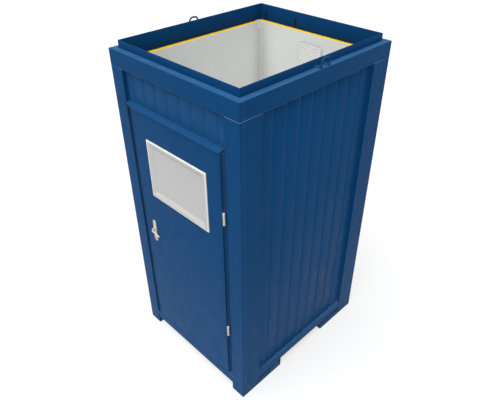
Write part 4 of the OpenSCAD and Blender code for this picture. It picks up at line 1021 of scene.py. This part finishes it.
class CABIN_OT_window(CabinPiece, bpy.types.Operator):
    """Mitred plastic window frame with its pane, gasket and drain hoods"""

    bl_idname = "cabin.window"
    bl_label = "Window"

    def execute(self, context):
        low, high = span_of("window_frame")
        leaf, inner = span_of("door_skin_outer")[0].y, span_of("door_skin_inner")[1].y
        pane_low, pane_high = span_of("window_pane")
        border, grip, flange = 46 * MM, 38.5 * MM, 14 * MM
        # Depth and inset of the frame's section, from the outer flange round to the inner one
        front = [(2.5, 0), (0.6, 1.2), (0, 3.5), (0.2, 19), (1.6, 20.8), (1.8, 21.6), (1.2, 22.6)]
        front += [(8.8, 44.4), (9.8, 46)]
        back = [(-6, 46), (-2, 43.5), (-0.4, 40.5), (0, 37), (0, 2), (-0.6, 0.5), (-2, 0)]
        section = [(leaf, 0)] + [(low.y + y * MM, inset * MM) for y, inset in front]
        section += [(pane_low.y, border), (pane_low.y, grip), (pane_high.y, grip), (pane_high.y, border)]
        section += [(high.y + y * MM, inset * MM) for y, inset in back]
        section += [(inner, 0), (inner, flange), (leaf, flange)]
        profile = Shape().lofted(self.mitred(low, high, section), caps=False)
        profile.piece("window_profile", "window_pvc", "door", ("window_frame",), ease=0.35 * MM, angle=25)
        gasket, lip = Shape(), ((0, -1), (2.2, -1), (1.6, 2.2), (0, 3))
        for y, way in ((pane_low.y, -1), (pane_high.y, 1)):
            section = [(y + way * out * MM, border + inset * MM) for out, inset in lip]
            gasket.lofted(self.mitred(low, high, section), caps=False)
        gasket.piece("window_gasket", "window_pvc", "door")
        dressed("window_pane")
        # Open drain slots of the lower flange, each under a small hood
        hoods = Shape()
        for x in (low.x + 120 * MM, high.x - 120 * MM):
            rings = []
            for half, out, foot, top in ((18, 0.4, 8, 15), (15, -2.2, 9.5, 13.5)):
                corners = ((-half, foot), (half, foot), (half, top), (-half, top))
                rings.append([(x + u * MM, low.y + out * MM, low.z + v * MM) for u, v in corners])
            hoods.lofted(rings)
        hoods.piece("window_drain_hoods", "window_pvc", "door", ease=0.5 * MM)
        return {"FINISHED"}

    @staticmethod
    def mitred(low, high, section):
        """A section of (depth, inset) points at the mitred corners of a frame, round to the first again."""
        corners = ((low.x, low.z, 1, 1), (high.x, low.z, -1, 1), (high.x, high.z, -1, -1), (low.x, high.z, 1, -1))
        rings = [[(x + sx * inset, depth, z + sz * inset) for depth, inset in section] for x, z, sx, sz in corners]
        return rings + rings[:1]


class CABIN_OT_hinges(CabinPiece, bpy.types.Operator):
    """Lift-off hinges with their washers"""

    bl_idname = "cabin.hinges"
    bl_label = "Hinges"

    def execute(self, context):
        for node in ("hinge_frame_halves", "hinge_door_halves"):
            eased(node, 0.9 * MM, finish_name="hinge_enamel")
        washers = Shape()
        low, high = span_of("hinge_frame_halves")
        for z in (low.z + 44 * MM, high.z - 32 * MM):
            washer = [(4.8, 0.2), (7.4, 0.2), (7.4, 1.8), (4.8, 1.8), (4.8, 0.2)]
            washers.turned(washer, (HINGE_AXIS.x, HINGE_AXIS.y, z))
        washers.piece("hinge_washers", "nickel_brass", "cabin")
        return {"FINISHED"}


class CABIN_OT_door_furniture(CabinPiece, bpy.types.Operator):
    """Backplates with their screws, levers, lock and thumb turn"""

    bl_idname = "cabin.door_furniture"
    bl_label = "Door furniture"

    def execute(self, context):
        eased("backplates", 1.3 * MM, 3)
        low, high = span_of("backplates")
        mid_x = (low.x + high.x) / 2
        spots = []
        for z in (low.z + 11 * MM, high.z - 11 * MM):
            spots += [((mid_x, low.y, z), (0, -1, 0)), ((mid_x, high.y, z), (0, 1, 0))]
        screws("backplate_screws", spots, "door", radius=3.8 * MM)
        self.levers(mid_x)
        self.lock(mid_x)
        return {"FINISHED"}

    def levers(self, x):
        z = joint_place("lever_turn").z
        plate_low, plate_high = span_of("backplates")
        low, high = span_of("lever_handles")
        collar, r, bend, length = 8.5 * MM, 6 * MM, 21 * MM, 104 * MM
        rod = r * 0.98
        droop = math.radians(10)
        grip = Vector((math.cos(droop), 0, -math.sin(droop)))
        levers, roses = Shape(), Shape()
        for face, reach, side in ((plate_low.y, low.y + r, -1), (plate_high.y, high.y - r, 1)):
            out = Vector((0, side, 0))
            start, turn = Vector((x, face, z)), Vector((x, reach, z))
            # The collar, its shoulder, and the slimmer rod that bends into the grip
            path = [start + out * rise * MM for rise in (-2, 8.5, 10.2, 11)]
            radii = [collar * 0.98, collar * 0.98, collar * 0.92, r]
            for k in range(9):
                a = math.pi / 2 * k / 8
                path.append(turn - out * (bend * (1 - math.sin(a))) + grip * (bend * (1 - math.cos(a))))
                radii.append(rod)
            end = turn + grip * (length - 2 * r)
            for a in (0, 0.5, 0.9, 1.2, 1.45, math.pi / 2):
                path.append(end + grip * (r * math.sin(a)))
                radii.append(rod * max(math.cos(a), 0.04))
            levers.swept(path, radii, sides=24)
            rose = [(8.8, 0), (13, 0), (13, 1.2), (11.5, 2.4), (8.8, 2.8), (8.8, 0)]
            roses.turned(rose, (x, face, z), "Y", 40, flip=side < 0)
        levers.piece("levers", "cream_enamel", "lever", ("lever_handles",), angle=50)
        roses.piece("lever_roses", "cream_enamel", "door")

    def lock(self, x):
        for node in ("lock_case", "latch_bolt", "dead_bolt", "spindle", "thumb_turn"):
            eased(node, 0.5 * MM)
        eased("lock_cylinder", 0.3 * MM)
        y, z = span_of("lock_cylinder")[0].y, joint_place("lock_turn").z
        plug = Shape().turned([(0, 0), (6.2, 0), (6.2, 0.5), (5.8, 0.8), (0, 0.8)], (x, y, z), "Y", flip=True)
        plug.piece("cylinder_plug", "nickel_brass", "door", angle=40)
        key = Shape().block((x - 0.6 * MM, y - 0.9 * MM, z - 4.2 * MM), (x + 0.6 * MM, y + 1 * MM, z + 3.6 * MM))
        key.piece("keyway", "black_rubber", "door")
        low, high = span_of("lock_case")
        spots = [((low.x, (low.y + high.y) / 2, z), (-1, 0, 0)) for z in (low.z + 10 * MM, high.z - 10 * MM)]
        screws("lock_screws", spots, "door", radius=3.5 * MM)


class CABIN_OT_toilet(CabinPiece, bpy.types.Operator):
    """WC pan, seat, lid and cistern"""

    bl_idname = "cabin.toilet"
    bl_label = "WC"

    def execute(self, context):
        self.pan()
        self.seat_and_lid()
        eased("seat_hinge", 0.8 * MM, name="seat_hinge_metal")
        eased("cistern", self.sizes.glaze, 4)
        eased("cistern_lid", 4.5 * MM, 4)
        low, high = span_of("flush_button")
        x, y = (low.x + high.x) / 2, (low.y + high.y) / 2
        r = (high.x - low.x) / 2 / MM
        push = [(0, -68), (3, -68), (3, -18), (r - 1, -18), (r, -16), (r, -1.2), (r - 0.5, -0.4), (r - 1.6, 0)]
        push += [(12, -1.2), (9.5, -2.2), (8.8, -2.6), (8, -1.2), (0, -0.6)]
        button = Shape().turned(push, (x, y, high.z))
        button.piece("flush_push", "silver_button", "flush", ("flush_button",), angle=35)
        ring = [(r + 0.6, 0), (r + 6, 0), (r + 5.5, 1.6), (r + 1, 2.2), (r + 0.6, 0)]
        bezel = Shape().turned(ring, (x, y, span_of("cistern_lid")[1].z))
        bezel.piece("flush_bezel", "bright_chrome", "cabin")
        return {"FINISHED"}

    @staticmethod
    def outline(half_w, y0, y1, z, count=48):
        """An egg-shaped ring: rounded to the front and squarer to the back."""
        nose, square_x, square_y = 1.25, 0.62, 0.55
        widest = y0 + nose * half_w
        ring = []
        for a in (2 * math.pi * i / count for i in range(count)):
            c, s = math.cos(a), math.sin(a)
            if s < 0:
                ring.append((half_w * c, widest + nose * half_w * s, z))
            else:
                x = half_w * math.copysign(abs(c) ** square_x, c)
                ring.append((x, widest + (y1 - widest) * s ** square_y, z))
        return ring

    def pan(self):
        low, high = span_of("wc_pan")
        floor, rim, y0 = low.z, high.z, low.y
        back, seat_y = high.y - 20 * MM, joint_place("seat_lift").y
        # Half width, inset in front, offset behind and height of each ring: outside, rim, and down inside the bowl
        foot = [(112, 118, -28, 0), (125, 108, -20, 4), (125, 108, -20, 30), (116, 118, -22, 70)]
        foot += [(113, 118, -22, 170), (128, 90, -20, 235), (158, 38, -12, 300)]
        foot += [(175, 8, -4, 345), (180, 0.5, 0, 372)]
        edge = [(179.5, 1, 0, -6), (176, 4, -2, -1), (170, 10, -6, 0)]
        bowl = [(140, 41, -60, 0), (134, 47, -65, -3), (131.5, 50, -68, -12), (131.5, 50, -68, -30)]
        bowl += [(134, 47, -66, -45), (125, 65, -78, -85), (95, 120, -100, -130)]
        bowl += [(62, 165, -150, -160), (48, 180, -180, -185)]
        rings = [
            self.outline(half * MM, y0 + front * MM, rear + behind * MM, level + up * MM)
            for rows, rear, level in ((foot, back, floor), (edge, back, rim), (bowl, seat_y, rim))
            for half, front, behind, up in rows
        ]
        Shape().lofted(rings).piece("wc_bowl", "white_china", replaces=("wc_pan",), subdivide=1)
        surface = self.outline(48.5 * MM, y0 + 179.5 * MM, seat_y - 179.5 * MM, rim - 180 * MM)
        water = Shape().lofted([surface], caps=False)
        water.bm.faces.new(water.bm.verts[:])
        water.piece("trap_water", "obscure_glass", merge=False)
        spigot = [(50.5, 0), (48, 4), (48, 55), (45.5, 57), (45.5, 0)]
        outlet = (0, high.y - 60.5 * MM, span_of("soil_pipe")[0].z + 68 * MM)
        Shape().turned(spigot, outlet, "Y").piece("pan_spigot", "white_china", angle=40)
        bolts = [((side * 122 * MM, y0 + 360 * MM, floor + 30 * MM), (side, 0, 0)) for side in (1, -1)]
        screws("pan_screws", bolts, "cabin", "bright_chrome", radius=7 * MM)

    def seat_and_lid(self):
        hinge = joint_place("seat_lift")
        y0, y1 = span_of("wc_seat")[0].y, hinge.y - 14 * MM
        foot = span_of("wc_pan")[1].z + 2 * MM

        def outer(inset, z):
            return self.outline(180 * MM - inset, y0 + inset, y1 - inset, z)

        def inner(inset, z):
            return self.outline(112.5 * MM + inset, y0 + 68 * MM - inset, hinge.y - 62 * MM + inset, z)

        rounded = [(outer, 3, 0), (outer, 0, 4), (outer, 0, 10), (outer, 3, 15), (outer, 9, 17.6), (outer, 20, 18)]
        rounded += [(inner, 20, 17.4), (inner, 9, 15), (inner, 2, 10), (inner, 0, 5), (inner, 3, 1), (inner, 8, 0)]
        rings = [edge(inset * MM, foot + up * MM) for edge, inset, up in rounded + [(outer, 12, 0)]]
        seat = Shape().lofted(rings + rings[:1], caps=False)
        self.lugs(seat, hinge, 82 * MM, foot + 9 * MM, foot + 17 * MM)
        pad = [(0, 2.2), (8, 2.2), (8, 0.6), (6.8, 0), (0, 0)]
        for side in (1, -1):
            for y in (y0 + 181 * MM, hinge.y - 48 * MM):
                seat.turned(pad, (side * 156 * MM, y, foot - 1.8 * MM), steps=20)
        seat.piece("seat_ring", "white_seat", "seat", ("wc_seat",), angle=40)
        # The lid stands open at rest, so it is drawn shut and turned up about its hinge
        foot, opened = hinge.z + 1 * MM, math.radians(-96)
        domed = [(12, 4), (4, 0.5), (0, 2), (0, 8), (3, 11), (12, 13), (45, 13.8), (85, 14)]
        lid = Shape().lofted([outer(inset * MM, foot + up * MM) for inset, up in domed])
        self.lugs(lid, hinge, 56 * MM, foot, foot + 7 * MM)
        turn = Matrix.Translation(hinge) @ Matrix.Rotation(opened, 4, "X") @ Matrix.Translation(-hinge)
        bmesh.ops.transform(lid.bm, matrix=turn, verts=lid.bm.verts)
        lid.piece("lid_shell", "white_seat", "lid", ("wc_lid",), angle=40)

    @staticmethod
    def lugs(shape, hinge, x0, z0, z1, width=12):
        """Hinge ears round the seat pin, on both sides; the width is in millimetres."""
        ear = [(5.2, 0), (9.5, 0), (10, 0.6), (10, width - 0.6), (9.5, width), (5.2, width), (5.2, 0)]
        for a in (x0, -x0 - width * MM):
            b = a + width * MM
            shape.turned(ear, (a, hinge.y, hinge.z), "X", 32)
            shape.block((a + 0.3 * MM, hinge.y - 19 * MM, z0), (b - 0.3 * MM, hinge.y - 5.8 * MM, z1))


class CABIN_OT_washbasin(CabinPiece, bpy.types.Operator):
    """Washbasin with its drain and overflow, tap and trap"""

    bl_idname = "cabin.washbasin"
    bl_label = "Washbasin"

    def execute(self, context):
        eased("washbasin", self.sizes.glaze * 0.8, 4, 40)
        low, high = span_of("washbasin")
        x, y, top = high.x - 175 * MM, (low.y + high.y) / 2, high.z
        deep = top - 92 * MM
        flange = [(0, -2), (12, -2), (13, 0.8), (20.5, 1.6), (23.5, 0.8), (23.8, 0.2), (0, -6)]
        Shape().turned(flange, (x, y, deep)).piece("basin_drain", "bright_chrome", angle=40)
        slots = Shape()
        hole, spread = [(0, 0), (1.6, 0), (1.6, 0.6), (0, 0.6)], 7.5 * MM
        for a in (math.pi * k / 3 for k in range(6)):
            slots.turned(hole, (x + spread * math.cos(a), y + spread * math.sin(a), deep - 1.9 * MM), steps=10)
        slots.piece("drain_holes", "black_rubber")
        lip = [(4.5, 0), (8.5, 0), (8.5, 1), (5.5, 2.2), (4.5, 1.2), (4.5, 0)]
        overflow = Shape().turned(lip, (x + 103.3 * MM, y, top - 30 * MM), "X", 28, flip=True)
        overflow.piece("overflow_ring", "bright_chrome")
        self.tap()
        self.trap(x, y)
        return {"FINISHED"}

    @staticmethod
    def spout(x, y, z, path):
        """Points and radii of a path of (reach, rise, radius) in millimetres, which leads away from the wall."""
        points = [(x - reach * MM, y, z + rise * MM) for reach, rise, radius in path]
        return points, [radius * MM for reach, rise, radius in path]

    def tap(self):
        x, y, _ = joint_place("tap_turn")
        base = span_of("washbasin")[1].z
        cut = base + 85 * MM
        column = [(0, -58.5), (13.8, -58.5), (13.8, 0), (24.5, 0), (25, 1.5), (24.5, 4), (21.2, 6.5), (19.4, 11)]
        column += [(18.8, 30), (18.8, 66), (19.8, 76), (19.9, 84), (19.2, 85), (7.8, 85), (7.8, 104.5), (0, 104.5)]
        body = Shape().turned(column, (x, y, base))
        bent = [(4, 51, 12.5), (30, 58.5, 11.5), (62, 66.5, 10.5), (84, 68, 9.8), (93.5, 64, 9.4)]
        body.swept(*self.spout(x, y, base, bent + [(95.5, 56, 9.2), (95.5, 50.5, 9.2)]), 20)
        body.piece("tap_casting", "bright_chrome", "cabin", ("tap_body",), angle=40)
        ring = [(6.2, 0), (9.6, 0), (9.9, 1), (9.9, 6.8), (9.4, 7.5), (6.2, 7.5), (6.2, 0)]
        aerator = Shape().turned(ring, (x - 95.5 * MM, y, base + 46.2 * MM))
        aerator.piece("tap_aerator", "satin_steel", angle=40)
        dome = [(8.1, 0.3), (18.8, 0.3), (19.8, 1.5), (19.9, 11), (18.5, 17), (14.5, 20.5), (7, 21.9), (0, 22.2)]
        cap = Shape().turned(dome + [(0, 19), (8.1, 19), (8.1, 0.3)], (x, y, cut))
        lever = [(8, 12.5, 6.2), (30, 17.5, 5.6), (52, 21.5, 5.2), (70, 22.5, 4.8), (75.7, 22.5, 2)]
        flat = [(1.35 * math.cos(a), 0.62 * math.sin(a)) for a in (2 * math.pi * k / 16 for k in range(16))]
        cap.swept(*self.spout(x, y, cut, lever), section=flat)
        cap.piece("tap_cap", "bright_chrome", "tap", ("tap_lever",), angle=40)

    def trap(self, x, y):
        low, high = span_of("basin_trap")
        floor, rise, run = low.z, (high.z - low.z) / MM, (high.x - x) / MM
        cup = [(0, 0), (16, 0), (19.5, 2), (28.5, 4), (29.8, 6.5), (29.8, 18), (27.5, 19.5), (27.5, 22.5), (28.5, 24)]
        cup += [(28.5, 66), (26.5, 72), (20.5, 76.5), (20.5, 79.5), (24, 80.5), (24.5, 98), (22.5, 100), (16, 100)]
        cup += [(16, rise - 30), (23.5, rise - 30), (23.5, rise - 3), (19.5, rise), (0, rise)]
        shape = Shape().turned(cup, (x, y, floor), steps=40)
        arm = [(0, -10), (22.5, 0), (23.5, 2), (23.5, 17), (21.5, 19), (16, 19)]
        arm += [(16, run - 43.5), (29.5, run - 35.5), (29.8, run - 28.5), (0, run - 28.5)]
        shape.turned(arm, (x + 28.5 * MM, y, floor + 50 * MM), "X", 40)
        shape.piece("bottle_trap", "white_pvc", replaces=("basin_trap",), angle=35)
        ribs, count = Shape(), 24
        for r, level in ((24.7 * MM, floor + 81.5 * MM), (29.7 * MM, floor + 4 * MM)):
            for a in (2 * math.pi * k / count for k in range(count)):
                px, py = x + r * math.cos(a), y + r * math.sin(a)
                ribs.swept([(px, py, level + 1 * MM), (px, py, level + 12.5 * MM)], 0.9 * MM, 6)
        ribs.piece("trap_grip_ribs", "white_pvc")


class CABIN_OT_pipes(CabinPiece, bpy.types.Operator):
    """Soil pipe, and water pipe with its nuts and wall rose"""

    bl_idname = "cabin.pipes"
    bl_label = "Pipes"

    def execute(self, context):
        eased("soil_pipe", 0.8 * MM)
        eased("water_pipe", 0.3 * MM)
        low, high = span_of("water_pipe")
        x, y, z = high.x - 15 * MM, low.y + 8 * MM, (low.z + high.z) / 2
        wall = span_of("lining_back")[0].y
        fittings = Shape()
        for end, axis, length in (((span_of("cistern")[1].x, y, z), "X", 14), ((x, wall - 34 * MM, z), "Y", 13)):
            nut = [(8, 0), (12.5, 0), (13.2, 1), (13.2, length - 1), (12.5, length), (8, length), (8, 0)]
            fittings.turned(nut, end, axis, 6)
        rose = [(8, 0), (21, 0), (22, 1.2), (17, 5), (8, 6.2), (8, 0)]
        fittings.turned(rose, (x, wall, z), "Y", 36, flip=True)
        fittings.piece("pipe_fittings", "bright_chrome", angle=30)
        return {"FINISHED"}


class CABIN_OT_mirror(CabinPiece, bpy.types.Operator):
    """Wall mirror with polished edges and clips"""

    bl_idname = "cabin.mirror"
    bl_label = "Mirror"

    def execute(self, context):
        eased("wall_mirror", 1.6 * MM, 2)
        low, high = span_of("wall_mirror")
        clips = Shape()
        lip, face, half = low.x - 1.6 * MM, low.x - 0.1 * MM, 9 * MM
        for y in (low.y + 70 * MM, high.y - 70 * MM):
            for z, way in ((low.z, 1), (high.z, -1)):
                for x0, x1, reach in ((lip, face, 9 * MM), (face, high.x, -0.6 * MM)):
                    a, b = sorted((z - way * 5 * MM, z + way * reach))
                    clips.block((x0, y - half, a), (x1, y + half, b))
        clips.piece("mirror_clips", "bright_chrome", ease=0.5 * MM)
        return {"FINISHED"}


class CABIN_OT_ventilation(CabinPiece, bpy.types.Operator):
    """Ventilation grille with an insect screen, fan and duct"""

    bl_idname = "cabin.ventilation"
    bl_label = "Ventilation"

    def execute(self, context):
        eased("vent_grille", 0.8 * MM, finish_name="grille_pvc")
        low, high = span_of("vent_grille")
        centre = (low + high) / 2
        opening, blades = 174 * MM, 11
        louvres = {"Blades": blades, "Pitch": opening / blades, "Length": opening, "Chord": 13 * MM}
        louvres["Slope"] = math.radians(50)
        grown("grille_louvres", bpy.data.meshes.new("grille_louvres"), louvre_tree, louvres,
              "grille_pvc", "cabin", (centre.x, low.y + 4.6 * MM, centre.z))
        mesh = {"Size": high.x - low.x - 8 * MM, "Wires": 61, "Gauge": 0.3 * MM}
        grown("grille_screen", bpy.data.meshes.new("grille_screen"), screen_tree, mesh,
              "white_pvc", "cabin", (centre.x, high.y - 6 * MM, centre.z))
        corners = [(centre.x + sx * 88 * MM, low.y, centre.z + sz * 88 * MM) for sx in (-1, 1) for sz in (-1, 1)]
        screws("grille_screws", [(place, (0, -1, 0)) for place in corners], "cabin", "white_pvc", radius=3 * MM)
        eased("fan_duct", 0.5 * MM)
        self.fan()
        return {"FINISHED"}

    def fan(self):
        low, high = span_of("fan_wheel")
        axle = (low + high) / 2
        hub = [(3.1, -6), (12.5, -6), (13.8, -4.5), (14, 6), (3.1, 6), (3.1, -6)]
        shape = Shape().turned(hub, axle, "Y", 40)
        blades = 7
        for k in range(blades):
            turn = Matrix.Rotation(2 * math.pi * k / blades, 4, "Y")
            rings = []
            # Each blade twists and swells from its root in the hub to its tip
            for s in (step / 5 for step in range(6)):
                pitch = math.radians(50 - 22 * s)
                half = 6.8 * MM * (0.75 + 0.25 * math.sin(math.pi * (0.15 + 0.7 * s)))
                chord = Vector((math.cos(pitch), -math.sin(pitch), 0)) * half
                lift = Vector((math.sin(pitch), math.cos(pitch), 0)) * 0.6 * MM
                centre = Vector((0, 0, 13 * MM + (high.z - axle.z - 13.8 * MM) * s))
                belly = centre - chord * 0.3
                section = (centre - chord, belly + lift * 2, centre + chord, belly + lift * 0.2)
                rings.append([turn @ p + axle for p in section])
            shape.lofted(rings)
        shape.piece("fan_rotor", "white_seat", "fan", ("fan_wheel",), angle=35)


class CABIN_OT_paper_roll(CabinPiece, bpy.types.Operator):
    """Toilet roll on its holder"""

    bl_idname = "cabin.paper_roll"
    bl_label = "Toilet roll"

    def execute(self, context):
        eased("roll_holder", 0.8 * MM)
        low, high = span_of("toilet_roll")
        foot = ((low.x + high.x) / 2, low.y, (low.z + high.z) / 2)
        width, r, core = (high.y - low.y) / MM, (high.z - low.z) / 2 / MM, 20.1

        def layers(wander):
            """Reach and depth of each wound layer: the face rises and falls a little from turn to turn."""
            count = 26
            for k in range(count + 1):
                yield core + 1.2 + (r - core - 2.6) * k / count, 0.7 + 0.6 * (k % 2) + 0.6 * math.sin(k * wander) ** 2

        profile = [(core, 0.8), *layers(1.7), (r - 0.6, 1.2), (r, 3), (r, width - 3), (r - 0.6, width - 1.2)]
        profile += [(reach, width - depth) for reach, depth in reversed(list(layers(2.1)))]
        roll = Shape().turned(profile + [(core, width - 0.8), (core, 0.8)], foot, "Y", 56)
        roll.piece("tissue_roll", "tissue_paper", "roll", ("toilet_roll",), angle=50)
        inner, outer, end = core - 0.12, core + 0.9, width - 0.4
        tube = Shape().turned([(inner, 0.4), (outer, 0.4), (outer, end), (inner, end), (inner, 0.4)], foot, "Y", 48)
        tube.piece("roll_core", "plywood", "roll", angle=40)
        return {"FINISHED"}


class CABIN_OT_cable_outlet(CabinPiece, bpy.types.Operator):
    """Cable duct and the rubber strips in the roof frame"""

    bl_idname = "cabin.cable_outlet"
    bl_label = "Cable outlet"

    def execute(self, context):
        eased("cable_conduit", 0.6 * MM)
        eased("cable_slot_seals", 0.5 * MM)
        # The strips' lips, pressed flat on the steel
        lips = Shape()
        low, high = span_of("cable_slot_seals")
        for x0, x1 in ((low.x, low.x + 10 * MM), (high.x - 10 * MM, high.x)):
            for a, b in ((x0 - 2.2 * MM, x0 - 0.1 * MM), (x1 + 0.1 * MM, x1 + 2.2 * MM)):
                lips.block((a, high.y - 0.9 * MM, low.z), (b, high.y - 0.1 * MM, high.z))
        lips.piece("cable_slot_lips", "black_rubber", ease=0.3 * MM)
        return {"FINISHED"}


class CABIN_OT_stage(CabinPiece, bpy.types.Operator):
    """Pale floor, soft light and the camera"""

    bl_idname = "cabin.stage"
    bl_label = "Stage"

    def execute(self, context):
        scene = context.scene
        scene.view_settings.view_transform = "Standard"
        self.camera(scene)
        self.floor(scene)
        self.lights(scene)
        return {"FINISHED"}

    def camera(self, scene):
        view = scene.cabin_stage
        lens = bpy.data.cameras.new("Camera")
        lens.sensor_width, lens.lens = 36, view.lens
        lens.clip_end = 100
        camera = bpy.data.objects.new("Camera", lens)
        level = math.cos(view.elevation)
        back = Vector((math.sin(view.azimuth) * level, -math.cos(view.azimuth) * level, math.sin(view.elevation)))
        camera.location = (2.25018, -2.24732, 3.51458)
        camera.rotation_euler = (-back).to_track_quat("-Z", "Y").to_euler()
        scene.collection.objects.link(camera)
        scene.camera = camera

    @staticmethod
    def rays(tree, *kinds):
        """1 for rays of either kind, 0 for the others."""
        given = enumerate([add_node(tree, "ShaderNodeLightPath", output=kind) for kind in kinds])
        return add_node(tree, "ShaderNodeMath", given, operation="MAXIMUM")

    def floor(self, scene):
        mesh = bpy.data.meshes.new("studio_floor")
        half, level = 30, -0.5 * MM
        corners = [(half * x, half * y, level) for x, y in ((-1, -1), (1, -1), (1, 1), (-1, 1))]
        mesh.from_pydata(corners, [], [(0, 1, 2, 3)])
        floor = bpy.data.objects.new("studio_floor", mesh)
        scene.collection.objects.link(floor)
        paper = bpy.data.materials.new("studio_paper")
        paper.use_nodes = True
        tree = paper.node_tree
        tree.nodes.clear()
        matt = add_node(tree, "ShaderNodeBsdfDiffuse", {"Color": (0.36, 0.36, 0.36, 1)})
        seen = self.rays(tree, "Is Camera Ray", "Is Glossy Ray")
        lift = add_node(tree, "ShaderNodeMath", {0: seen, 1: 0.6}, operation="MULTIPLY")
        glow = add_node(tree, "ShaderNodeEmission", {"Strength": lift})
        both = add_node(tree, "ShaderNodeAddShader", {0: matt, 1: glow})
        add_node(tree, "ShaderNodeOutputMaterial", {"Surface": both})
        mesh.materials.append(paper)

    def lights(self, scene):
        world = bpy.data.worlds.new("Studio")
        scene.world = world
        world.use_nodes = True
        tree = world.node_tree
        tree.nodes.clear()
        sky = add_node(tree, "ShaderNodeBackground", {"Strength": 0.4})
        white = add_node(tree, "ShaderNodeBackground", {"Color": (1, 1, 1, 1)})
        seen = self.rays(tree, "Is Camera Ray", "Is Transmission Ray")
        pick = add_node(tree, "ShaderNodeMixShader", {0: seen, 1: sky, 2: white})
        add_node(tree, "ShaderNodeOutputWorld", {"Surface": pick})
        suns = (("Key", 3.07, 60, (-0.03, 0.34, -0.94)), ("Front", 0.8, 40, (-0.6, 0.64, -0.48)))
        for name, strength, angle, turn in suns:
            lamp = bpy.data.lights.new(name, "SUN")
            lamp.energy, lamp.angle = strength, math.radians(angle)
            holder = bpy.data.objects.new(name, lamp)
            holder.rotation_euler = Vector(turn).to_track_quat("-Z", "Y").to_euler()
            holder.location = (0, 0, 6)
            scene.collection.objects.link(holder)
        # A soft fill inside the open cabin, where the walls would keep the studio light out
        fill = bpy.data.lights.new("Fill", "POINT")
        fill.energy, fill.shadow_soft_size = 4, 0.3
        holder = bpy.data.objects.new("Fill", fill)
        holder.location = (0.1, -0.1, 1.75)
        holder.visible_camera = holder.visible_glossy = False
        scene.collection.objects.link(holder)


OPERATORS = (
    CABIN_OT_roof_frame, CABIN_OT_lifting_eyes, CABIN_OT_posts, CABIN_OT_base, CABIN_OT_wall_sheets,
    CABIN_OT_insulation, CABIN_OT_linings, CABIN_OT_floor, CABIN_OT_door_frame, CABIN_OT_door_leaf, CABIN_OT_window,
    CABIN_OT_hinges, CABIN_OT_door_furniture, CABIN_OT_toilet, CABIN_OT_washbasin, CABIN_OT_pipes, CABIN_OT_mirror,
    CABIN_OT_ventilation, CABIN_OT_paper_roll, CABIN_OT_cable_outlet, CABIN_OT_stage,
)


class CABIN_PT_panel(bpy.types.Panel):
    """The cabin's pieces and settings"""

    bl_idname = "CABIN_PT_panel"
    bl_label = "Toilet cabin"
    bl_space_type = "VIEW_3D"
    bl_region_type = "UI"
    bl_category = "Cabin"

    def draw(self, context):
        layout = self.layout
        for group in (context.scene.cabin_colours, context.scene.cabin_sizes, context.scene.cabin_stage):
            box = layout.box()
            for name in group.__annotations__:
                box.prop(group, name)
        for operator in OPERATORS:
            layout.operator(operator.bl_idname, text=operator.bl_label)


CLASSES = (CabinColours, CabinSizes, CabinStage) + OPERATORS + (CABIN_PT_panel,)


def register():
    for kind in CLASSES:
        bpy.utils.register_class(kind)
    bpy.types.Scene.cabin_colours = PointerProperty(type=CabinColours)
    bpy.types.Scene.cabin_sizes = PointerProperty(type=CabinSizes)
    bpy.types.Scene.cabin_stage = PointerProperty(type=CabinStage)


def unregister():
    del bpy.types.Scene.cabin_stage, bpy.types.Scene.cabin_sizes, bpy.types.Scene.cabin_colours
    for kind in reversed(CLASSES):
        bpy.utils.unregister_class(kind)


def main():
    register()
    for operator in OPERATORS:
        group, name = operator.bl_idname.split(".")
        getattr(getattr(bpy.ops, group), name)()


if __name__ == "__main__":
    main()
